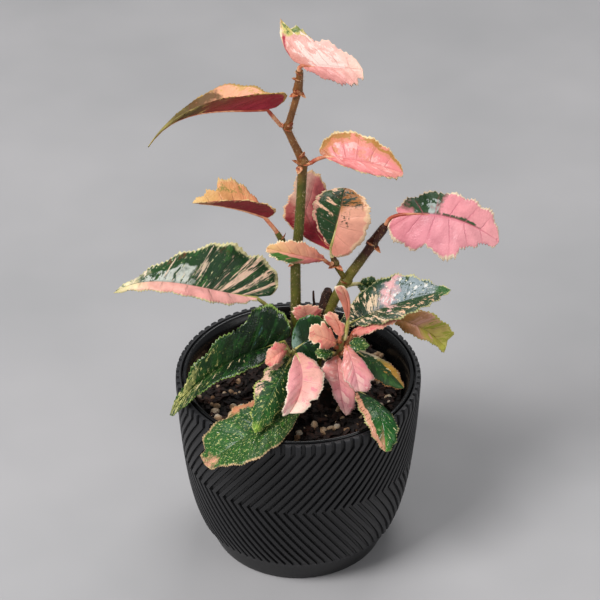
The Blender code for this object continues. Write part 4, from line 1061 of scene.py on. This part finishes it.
# Crossing blade: gold to pink with a cream toothed edge and a green strip low.
SHAPE = dict(rib=[(14, -3, 188), (0, -9, 195), (-17, -11, 201)],
             left=Half((-7, -14, 194), 0.6, 0.03, 0.6), right=Half((1, -5, 201), 0.5, 0.04, 0.5))
skin = blade_material(
    "blade_crossing_grown_gold_pink", SHAPE["rib"], SHAPE["left"], "#ecd6ac",
    [[(0.0, "#8e2c30"), (0.3, "#c9706a"), (0.7, "#e29a86"), (1.0, "#dfae7a")],
     [(0.0, "#a8433f"), (0.3, "#dd9077"), (0.7, "#e2a47c"), (1.0, "#dcb072")]],
    [Layer("#3f6a24", 6, 0.44, 2.5, 1, 0.40, 0.88, 0.40, 1.0)], veined="#b5564c", vein=0.35)
leaf("leaf_crossing", "leaf_peach", skin, rosy_stalk, grows=(FAN_SHOOT, 183.5),
     bend=(16, -1, 184.5), rows=12, **SHAPE)

# Behind the right cane, a small marbled green blade.
SHAPE = dict(rib=[(34, 18, 158), (41, 18, 154), (48, 16, 148)],
             left=Half((42, 22, 159), 0.5, 0.05, 0.4), right=Half((36, 14, 155), 0.5, 0.05, 0.4))
small_marbled = blade_material(
    "blade_small_grown_marbled", SHAPE["rib"], SHAPE["left"], "#ddd6a0",
    [[(0.0, "#22451c"), (0.6, "#24501c"), (1.0, "#4a6a2c")]],
    [Layer("#b3bf70", 2.0, 0.56, 1.3), Layer("#e9e2cf", 1.8, 0.61, 1.3)],
    veined="#22421b", vein=0.25)
leaf("leaf_behind", "leaf_speckled", small_marbled, pale_stalk, grows=(RIGHT_CANE, 161),
     bend=(27, 15, 160), rows=7, pucker=0.2, **SHAPE)

# Drooping blade: browned at the base, pink in the middle, and yellow green in
# its forked tips.
SHAPE = dict(rib=[(53, 8, 140), (67, 5, 138), (82, 2, 126)],
             left=Half((73, 9, 145), 0.5, 0.03, 0.95), right=Half((65, 0, 135), 0.45, 0.05, 0.5))
skin = blade_material(
    "blade_drooping_grown_yellowing", SHAPE["rib"], SHAPE["left"], "#c9bf5e",
    [[(0.0, "#7a6228"), (0.3, "#c08a50"), (0.55, "#dda084"), (0.7, "#d0b860"), (1.0, "#d2cd68")],
     [(0.0, "#6a5222"), (0.3, "#b9804c"), (0.5, "#d99a76"), (0.66, "#b9a848"), (1.0, "#c2c250")]],
    [Layer("#a8a838", 5, 0.54, 5.0, 0, 0.55, 1.0), Layer("#e0a890", 6, 0.55, 4.0, 0, 0.4, 0.8)],
    veined="#a8784a", vein=0.35)
leaf("leaf_drooping", "leaf_peach", skin, rosy_stalk, grows=(RIGHT_CANE, 128),
     bend=(36, 8, 130), rows=10, cuts=(
         [(0.5, 0.0), (0.7, 0.6), (0.78, 1.8), (0.86, 3.2), (0.90, -1.6)],
         [(0.6, 0.4), (0.72, -0.6), (0.84, 1.6), (0.92, 1.8)]), **SHAPE)


# Leaves of the front shoot, from the top down: the big dark one that lies
# over the left rim, a round one, small pink ones, the pink front leaf, and
# the two that hang over the pot's front left.

# Dark blade: deep glossy green with a painted grey blue sheen, yellow green
# specks and cream streaks that grow thick towards the cream and yellow tip.
SHAPE = dict(rib=[(-8, -6, 136), (-29, -12, 131), (-51, -22, 123), (-71, -26, 100)],
             left=Half((-29, -25, 130), 0.35, 0.04, 0.55),
             right=Half((-22, -1.5, 154), 0.18, 0.12, 0.1))
skin = blade_material(
    "blade_dark_grown_glossy_green", SHAPE["rib"], SHAPE["left"], "#7f9a48",
    [[(0.0, "#0f1f0c"), (0.5, "#132414"), (0.75, "#1a3417"), (0.93, "#c9c678")],
     [(0.0, "#0e230b"), (0.5, "#102411"), (0.75, "#1a3816"), (0.93, "#c9c678")]],
    # The grey blue layer is a painted sheen.
    [Layer("#1a3f17", 7, 0.53, 1.4), Layer("#4d6f74", 10, 0.62, 1.6, -1, 0.38, 0.66, 0.0, 0.6),
     Layer("#8fa84e", 1.4, 0.63, 1.2), Layer("#24461b", 4, 0.50, 2.0, 0, 0.6, 1.0),
     Layer("#b9b46c", 2.4, 0.57, 1.6, 0, 0.66, 1.0), Layer("#dcc79a", 3.4, 0.57, 4.0, 1, 0.42, 0.8, 0.0, 0.6),
     Layer("#d6cf92", 2.6, 0.57, 3.0, 0, 0.74, 1.0)],
    veined="#33512a", vein=0.3, rough=0.24, edge_at=0.965)
leaf("leaf_dark", "leaf_green", skin, pale_stalk, grows=(FRONT_SHOOT, 129), bend=(-6, -6, 131),
     rows=14, tooth=1.3, pucker=0.7, cuts=(
         [(0.5, 0.4), (0.6, -0.8), (0.72, 0.4), (0.85, 0.8)],
         [(0.2, 0.5), (0.40, 2.0), (0.47, 1.4), (0.52, -4.2), (0.60, -3.6), (0.68, -1.2),
          (0.72, -1.8), (0.8, 0.2), (0.86, -0.8)]), **SHAPE)

# Round blade: dark green with a painted white blue sheen down its left side.
SHAPE = dict(rib=[(-1, -11, 135), (7, -10, 141), (17, -9, 145)],
             left=Half((2, -6, 152), 0.3, 0.22, 0.6), right=Half((10, -16, 129), 0.35, 0.10, 0.6))
skin = blade_material(
    "blade_round_grown_dark_green", SHAPE["rib"], SHAPE["left"], "#5f8a48",
    # The pale blue stops at the left half's base are a painted sheen.
    [[(0.0, "#8aa598"), (0.24, "#7f9a8c"), (0.36, "#16321a"), (1.0, "#1c4018")],
     [(0.0, "#15301a"), (0.5, "#102a12"), (1.0, "#1d4218")]],
    [Layer("#24501f", 4, 0.56, 2.0)], veined="#4a6a40", vein=0.2, rough=0.24, edge_at=0.965)
leaf("leaf_round", "leaf_green", skin, pale_stalk, grows=(FRONT_SHOOT, 132), bend=(-2, -8, 133),
     rows=12, tooth=0.4, pucker=0.25, **SHAPE)

# Young pink blades, waxy: salmon pink with paler cream margins.
SHAPE = dict(rib=[(6, -3.5, 143), (5, -2, 149), (3, -2, 157)],
             left=Half((-3, -3, 153), 0.5, 0.05, 0.5), right=Half((13, 1, 151.5), 0.5, 0.05, 0.5))
young_pink = blade_material(
    "blade_young_grown_salmon_pink", SHAPE["rib"], SHAPE["left"], "#ecc8a8",
    [[(0.0, "#d97f70"), (0.5, "#e28f80"), (1.0, "#e5a084")]],
    [Layer("#d96f6c", 6, 0.52, 2.0)], veined="#bf5f5c", vein=0.4)
leaf("leaf_curled", "leaf_pink", young_pink, rosy_stalk, grows=(FRONT_SHOOT, 124),
     bend=(5, -5, 130), rows=10, pucker=0.3, **SHAPE)
SHAPE = dict(rib=[(-6.5, -12, 135.5), (-11, -20, 137.6), (-18, -23, 133.6)],
             left=Half((-11, -25, 134.6), 0.5, 0.08, 0.6),
             right=Half((-13, -16, 141.6), 0.5, 0.08, 0.6))
leaf("leaf_small", "leaf_pink", young_pink, pale_stalk, grows=(FRONT_SHOOT, 126),
     bend=(-7, -9.5, 130), rows=7, pucker=0.2, **SHAPE)

# Front blade: clear pink, whitish along the lower margin, beige on the right.
SHAPE = dict(rib=[(-1, -17, 134.9), (2, -35, 128.7), (-5, -54, 122.7)],
             left=Half((13, -32, 130.7), 0.45, 0.08, 0.85),
             right=Half((-7, -46, 131.6), 0.5, 0.05, 0.8))
skin = blade_material(
    "blade_front_grown_clear_pink", SHAPE["rib"], SHAPE["left"], "#f2dcc4",
    [[(0.0, "#e2988a"), (0.3, "#ecab9c"), (0.7, "#f0b2a8"), (1.0, "#f4d6c2")],
     [(0.0, "#e2928a"), (0.4, "#ee9ea0"), (0.75, "#f2b0ab"), (1.0, "#f4d6c6")]],
    [Layer("#ea9298", 7, 0.55, 1.6)], veined="#d6808a", vein=0.3)
leaf("leaf_front", "leaf_pink", skin, pale_stalk, grows=(FRONT_SHOOT, 120), bend=(0, -16, 124),
     rows=12, tooth=0.6, cuts=(
         [(0.4, 0.8), (0.5, 1.6), (0.60, 1.6), (0.70, 2.8), (0.745, -1.4), (0.80, 2.6), (0.93, 3.4)],
         [(0.3, -0.5), (0.5, -1.5), (0.8, -0.5), (0.94, 1.0)]), **SHAPE)

# Hanging blade: green with cream and pink blotches and a yellow green tip.
SHAPE = dict(rib=[(-4, -13, 129), (-13, -39, 128.6), (-23, -70, 122)],
             left=Half((-5, -37.5, 122.6), 0.5, 0.05, 0.5),
             right=Half((-21, -33, 130), 0.42, 0.10, 0.3))
skin = blade_material(
    "blade_hanging_grown_blotched", SHAPE["rib"], SHAPE["left"], "#b5bd6a",
    [[(0.0, "#1c3a17"), (0.6, "#183f1c"), (0.85, "#24561f"), (1.0, "#8fb03c")]],
    [Layer("#2f6424", 4, 0.55, 1.5), Layer("#e8bca4", 7, 0.47, 1.3, -1, 0.22, 0.60, 0.35, 1.0),
     Layer("#cfcf80", 2.0, 0.57, 1.3)],
    veined="#18351a", vein=0.35, rough=0.34)
leaf("leaf_hanging", "leaf_green", skin, pale_stalk, grows=(FRONT_SHOOT, 117),
     bend=(-4, -12, 122), rows=14, cuts=(
         [(0.5, 0.8), (0.66, -1.2), (0.8, 0.6)],
         [(0.3, 1.2), (0.45, -1.0), (0.55, 1.4), (0.66, -1.2), (0.8, 0.8)]), **SHAPE)

# Spilling blade: green, thickly speckled with cream and yellow, with a
# painted grey green sheen in its middle, an orange pink fold at the top and
# a pink corner at the tip.
SHAPE = dict(rib=[(3, -30, 111), (-23, -62, 117), (-50, -70, 100)],
             left=Half((-16, -76.5, 114.3), 0.4, 0.02, 0.3),
             right=Half((-30, -44, 120.5), 0.48, 0.02, 0.8))
skin = blade_material(
    "blade_spilling_grown_speckled", SHAPE["rib"], SHAPE["left"], "#dcb98a",
    [[(0.0, "#2a4a22"), (0.5, "#2a5022"), (0.9, "#2c561f"), (0.97, "#dc9c80")],
     [(0.0, "#24451f"), (0.5, "#1f4a1e"), (0.9, "#285a20"), (0.97, "#dc9c80")]],
    # The grey green layer, second in the list, is a painted sheen.
    [Layer("#3f6f28", 3.5, 0.55, 1.2), Layer("#7f9a84", 9, 0.58, 1.3, -1, 0.32, 0.62, 0.1, 0.75),
     Layer("#c2c67a", 1.5, 0.57, 1.1), Layer("#ecead0", 1.2, 0.62, 1.1),
     Layer("#d08a64", 4, 0.36, 2.0, -1, 0.2, 0.56, 0.84, 1.0)],
    veined="#1b3617", vein=0.4, rough=0.34, edge_at=0.965)
leaf("leaf_spilling", "leaf_speckled", skin, pale_stalk, grows=(FRONT_SHOOT, 109),
     bend=(0, -18, 112), rows=14, pucker=0.6, cuts=(
         [(0.3, 0.8), (0.42, -1.0), (0.55, 1.2), (0.68, 0.6), (0.8, -1.0), (0.9, 1.2)],
         [(0.42, 0.6), (0.5, 1.4), (0.58, -1.2), (0.68, 1.8), (0.8, 2.4), (0.88, -0.6), (0.94, 1.8)]),
     **SHAPE)


# Leaves of the side shoot, from the top down: a long marbled one over the
# right rim, a spoon and flags of young pink growth, the forked pink pair in
# front, and the green ones that lie on the mix and over the rim.

# Low right blade: dark green, cream stripes by the stalk, a grey white and
# pink middle along the veins, and a green margin and tip.
SHAPE = dict(rib=[(27, -4.5, 146), (52, -5, 160), (83, -4, 169)],
             left=Half((46, 10, 167), 0.36, 0.16, 0.1), right=Half((57, -14, 158), 0.50, 0.04, 0.3))
skin = blade_material(
    "blade_low_right_grown_marbled", SHAPE["rib"], SHAPE["left"], "#c9c48a",
    [[(0.0, "#17301a"), (0.40, "#1d3a1d"), (0.52, "#73848a"), (0.80, "#8f9ca0"), (0.9, "#2a5a22")],
     [(0.0, "#1d381c"), (0.5, "#243f1f"), (0.8, "#1d3f1c"), (1.0, "#2c5f22")]],
    [Layer("#e2c4a2", 3.0, 0.53, 5.0, 0, 0.1, 0.46), Layer("#2c4636", 2.0, 0.54, 1.6, 1, 0.42, 0.85),
     Layer("#e8a9a8", 6, 0.36, 3.0, 1, 0.50, 0.57), Layer("#e6b4ac", 5, 0.52, 2.0, -1, 0.42, 0.6, 0.0, 0.4),
     Layer("#d9d9d4", 3, 0.56, 2.0, 1, 0.5, 0.85), Layer("#1d3f1c", 7, 0.50, 1.6, 1, 0.3, 1.0, 0.82, 1.0),
     Layer("#e3b894", 3.5, 0.55, 1.6, -1, 0.3, 0.95, 0.3, 1.0), Layer("#e6dfc0", 1.8, 0.61, 1.4)],
    veined="#1d331a", vein=0.3, rough=0.45)
leaf("leaf_low_right", "leaf_speckled", skin, pale_stalk, grows=(SIDE_SHOOT, 142),
     bend=(26, -5.5, 144), rows=16, tooth=1.0, pucker=0.5, **SHAPE)

# Flag blades, young and thin: peach with cream teeth and a warm base.
SHAPE = dict(rib=[(23, -11, 143), (22, -8, 149), (17, -6, 156)],
             left=Half((15, -8, 152), 0.6, 0.05, 0.6), right=Half((24.5, -8, 149.5), 0.5, 0.05, 0.5))
flag_peach = blade_material(
    "blade_flag_grown_peach_cream", SHAPE["rib"], SHAPE["left"], "#efd9b6",
    [[(0.0, "#d97c68"), (0.5, "#e5937c"), (1.0, "#ebb494")]],
    [Layer("#dd7a70", 5, 0.53, 1.6)], veined="#c9685c", vein=0.35)
leaf("leaf_spoon", "leaf_pink", flag_peach, pale_stalk,
     rib=[(27, -8, 150), (27, -8, 164), (23, -10, 176)],
     left=Half((20, -10, 173), 0.8, 0.0, 0.8), right=Half((26.5, -10, 173), 0.8, 0.0, 0.8),
     grows=(SIDE_SHOOT, 139.5), bend=(26.5, -8.5, 144), rows=8, tooth=0.0, wave=0.0, pucker=0.15)
leaf("leaf_flag_back", "leaf_peach", flag_peach, rosy_stalk, grows=(SIDE_SHOOT, 137.5),
     bend=(22, -11.5, 138.5), rows=7, pucker=0.2, cuts=(
         [(0.4, 0.2), (0.6, 1.0), (0.7, -1.2)], [(0.4, 0.6), (0.62, -1.0), (0.8, 1.0)]), **SHAPE)
leaf("leaf_narrow", "leaf_peach", young_pink, rosy_stalk,
     rib=[(30, -8, 143.5), (40, -9, 149), (54, -10, 153)],
     left=Half((41, -6, 151), 0.55, 0.05, 0.5), right=Half((38, -13, 146), 0.45, 0.05, 0.4),
     grows=(SIDE_SHOOT, 136), bend=(28.5, -7, 138), rows=10, pucker=0.2)
leaf("leaf_flag", "leaf_peach", flag_peach, rosy_stalk,
     rib=[(20, -14.5, 140.5), (15, -16, 145), (6, -17, 149)],
     left=Half((13, -21, 143), 0.5, 0.06, 0.5), right=Half((15, -11, 151), 0.45, 0.10, 0.6),
     grows=(SIDE_SHOOT, 134), bend=(19, -11, 137), rows=10, pucker=0.3, cuts=(
         [(0.3, 0.4), (0.5, 1.6), (0.58, -1.0), (0.7, 1.0), (0.85, 1.4)],
         [(0.3, 0.6), (0.42, -1.4), (0.56, 1.6), (0.64, -1.2), (0.8, 1.2)]))

# Forked blades: salmon to clear pink, with thin cream edges.
SHAPE = dict(rib=[(26, -18, 141), (30, -29, 135.5), (33, -37, 125)],
             left=Half((39, -29, 131.5), 0.5, 0.10, 0.6), right=Half((25, -35, 133.5), 0.5, 0.03, 0.5))
fork_pink = blade_material(
    "blade_fork_grown_pink", SHAPE["rib"], SHAPE["left"], "#f0cdbb",
    [[(0.0, "#de8a7c"), (0.4, "#ea9a92"), (0.8, "#ec9fa4"), (1.0, "#f1c0b6")]],
    [Layer("#e68890", 6, 0.54, 1.8), Layer("#f2bdb4", 5, 0.56, 1.8)], veined="#d0707a", vein=0.3)
leaf("leaf_fork_short", "leaf_pink", fork_pink, rosy_stalk, grows=(SIDE_SHOOT, 131),
     bend=(26, -14.5, 135), rows=10, tooth=0.6, pucker=0.3, cuts=(
         [(0.4, 0.4), (0.56, 1.6), (0.64, -0.8), (0.8, 1.4)], [(0.5, 0.8), (0.7, -0.8)]), **SHAPE)
leaf("leaf_tuft", "leaf_speckled", small_marbled, rosy_stalk,
     rib=[(28, -14, 138.5), (32, -13, 138.5), (39, -12, 137.5)],
     left=Half((32, -9, 140.5), 0.5, 0.08, 0.6), right=Half((32, -17, 136.5), 0.5, 0.08, 0.6),
     grows=(SIDE_SHOOT, 131.5), bend=(28.5, -9.5, 134.5), rows=7, pucker=0.15)
leaf("leaf_speck", "leaf_speckled", small_marbled, pale_stalk,
     rib=[(19, -17, 136), (15, -19, 138), (9, -21, 139.5)],
     left=Half((14, -23, 136), 0.5, 0.05, 0.5), right=Half((14, -17.5, 139.5), 0.5, 0.05, 0.5),
     grows=(SIDE_SHOOT, 129), bend=(18.5, -12, 133), rows=7, pucker=0.15)
leaf("leaf_fork_long", "leaf_pink", fork_pink, rosy_stalk,
     rib=[(21.5, -14, 131.5), (22.5, -25, 122), (26, -34, 106)],
     left=Half((31, -25, 118), 0.55, 0.0, 0.7), right=Half((14, -25, 129), 0.4, 0.02, 0.1),
     grows=(SIDE_SHOOT, 121), bend=(21.5, -14, 126), rows=12, tooth=0.6, pucker=0.3, cuts=(
         [], [(0.3, 0.5), (0.5, 1.4), (0.58, -1.6), (0.8, 0.6)]))

# Blade on the mix by the right wall: green below, cream and gold above.
SHAPE = dict(rib=[(32, -12, 133.6), (44, -18, 126.6), (58, -22, 115.6)],
             left=Half((48, -9, 124.6), 0.5, 0.08, 0.6), right=Half((39, -23, 124.6), 0.5, 0.08, 0.5))
skin = blade_material(
    "blade_edge_right_grown_green_gold", SHAPE["rib"], SHAPE["left"], "#c98a5c",
    [[(0.0, "#b9a98a"), (0.3, "#e0cba6"), (0.45, "#8a7a3c"), (0.62, "#bf8c34"), (1.0, "#a9803a")],
     [(0.0, "#23401f"), (0.5, "#1a3a17"), (1.0, "#2c5320")]],
    [Layer("#1d3d18", 4, 0.40, 1.6, 1, 0.0, 1.0, 0.0, 0.42), Layer("#dccfa4", 2.0, 0.60, 1.6, 1),
     Layer("#3a6428", 4, 0.55, 2.0, -1)],
    veined="#1d3a18", vein=0.3)
leaf("leaf_edge_right", "leaf_green", skin, pale_stalk, grows=(SIDE_SHOOT, 118),
     bend=(30, -10, 125), rows=10, pucker=0.3, **SHAPE)

# Blade over the right rim: glossy green with a painted blue sheen, a pink
# brown edge folded along its left side, and cream and white flecks near the tip.
SHAPE = dict(rib=[(33, -22, 113.5), (43, -48, 120), (47, -66, 106)],
             left=Half((51.5, -49, 115.8), 0.5, 0.12, 0.6), right=Half((34, -49, 119.6), 0.5, 0.05, 0.5))
skin = blade_material(
    "blade_rim_right_grown_glossy_green", SHAPE["rib"], SHAPE["left"], "#b9b77a",
    [[(0.0, "#15361f"), (0.5, "#163f1b"), (0.85, "#1f5a1f"), (1.0, "#5f9a3c")],
     [(0.0, "#183a1f"), (0.5, "#173d1b"), (0.8, "#24561f"), (1.0, "#c98f70")]],
    # The blue layer, first in the list, is a painted sheen.
    [Layer("#3f7a78", 9, 0.58, 2.0, 1, 0.2, 0.6), Layer("#2a6424", 4, 0.55, 1.6),
     Layer("#dcd9a0", 2.0, 0.59, 1.5, 0, 0.4, 1.0),
     Layer("#cf9478", 6, 0.30, 3.0, -1, 0.10, 1.0, 0.66, 1.0),
     Layer("#7a5236", 2.4, 0.54, 3.0, -1, 0.10, 1.0, 0.62, 1.0)],
    veined="#152f16", vein=0.3, rough=0.22, edge_at=0.96)
leaf("leaf_rim_right", "leaf_green", skin, pale_stalk, grows=(SIDE_SHOOT, 110),
     bend=(28, -14, 111), rows=12, **SHAPE)

# Down on every leaf stalk, the same pale hair as on the canes.
rng = random.Random(33)
bm = bmesh.new()
for route in stalk_routes:
    hairs_into(bm, rng, route, 3.0, 1.0)
stalk_hairs = add_piece("stalk_hairs", bm, downy)
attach(stalk_hairs, "root")


# Floor, light and camera. The floor is a plain pale grey sheet, smooth and
# seamless. One large soft lamp stands over the front left, a weaker one on
# the right, and the room's own light fills the shadows.

bm = bmesh.new()
bmesh.ops.create_circle(bm, cap_ends=True, segments=96, radius=6.0)
# Painted board, rolled: pale grey, with a barely seen cloudy tone.
board, tree = new_material("board_painted_pale_grey")
spot = add_node(tree, "ShaderNodeTexCoord").outputs["Object"]
cloud = add_node(tree, "ShaderNodeTexNoise", {"Vector": spot, "Scale": 1000 / 160.0, "Detail": 3.0})
shade = add_node(tree, "ShaderNodeValToRGB", {"Fac": cloud.outputs["Fac"]}, [
    (0.3, "#a5a4a5"), (0.7, "#b2b0b1")])
bump = add_node(tree, "ShaderNodeBump", {
    "Height": cloud.outputs["Fac"], "Distance": 0.0002, "Strength": 0.1})
finish_material(tree, shade.outputs["Color"], 0.8, bump.outputs["Normal"])
floor = add_piece("floor", bm, board)

bpy.context.scene.view_settings.view_transform = "Standard"
world = bpy.data.worlds.new("soft_room")
bpy.context.scene.world = world
world.use_nodes = True
world.node_tree.nodes["Background"].inputs["Color"].default_value = (0.93, 0.96, 1.0, 1.0)
world.node_tree.nodes["Background"].inputs["Strength"].default_value = 0.24


def softbox(name, place, aim, size, power):
    """A square area lamp at a place in metres, turned to face a point."""
    lamp = bpy.data.lights.new(name, "AREA")
    lamp.shape = "SQUARE"
    lamp.size = size
    lamp.energy = power
    holder = bpy.data.objects.new(name, lamp)
    bpy.context.scene.collection.objects.link(holder)
    holder.location = place
    turn = (Vector(aim) - Vector(place)).to_track_quat("-Z", "Y")
    holder.rotation_mode = "QUATERNION"
    holder.rotation_quaternion = turn


softbox("key_softbox", (-0.9, -0.7, 1.5), (0, 0, 0.15), 0.7, 30.0)
softbox("fill_softbox", (1.2, -0.9, 0.8), (0, 0, 0.15), 1.0, 5.0)
softbox("top_softbox", (0.2, 0.7, 1.5), (0, 0, 0.2), 0.8, 9.0)

CAMERA_TILT = math.radians(34.9)
FOCAL_PIXELS = 2400.0
DISTANCE = 2400.0 * 68.0 / 121.5
ORIGIN_PIXEL = (298.3, 375.5)
ahead = Vector((0, math.cos(CAMERA_TILT), -math.sin(CAMERA_TILT)))
upward = Vector((0, math.sin(CAMERA_TILT), math.cos(CAMERA_TILT)))
sideways = Vector((1, 0, 0))
shift_x = (ORIGIN_PIXEL[0] - 300.0) / FOCAL_PIXELS * DISTANCE
shift_y = -(ORIGIN_PIXEL[1] - 300.0) / FOCAL_PIXELS * DISTANCE
stand = Vector((0, 0, 108.0)) - ahead * DISTANCE - sideways * shift_x - upward * shift_y
lens = bpy.data.cameras.new("camera")
lens.sensor_width = 36.0
lens.lens = 36.0 * FOCAL_PIXELS / 600.0
lens.clip_start = 0.05
lens.clip_end = 30.0
camera = bpy.data.objects.new("camera", lens)
bpy.context.scene.collection.objects.link(camera)
turn = Matrix((sideways, upward, -ahead)).transposed().to_4x4()
turn.translation = stand * MM
camera.matrix_world = turn
bpy.context.scene.camera = camera
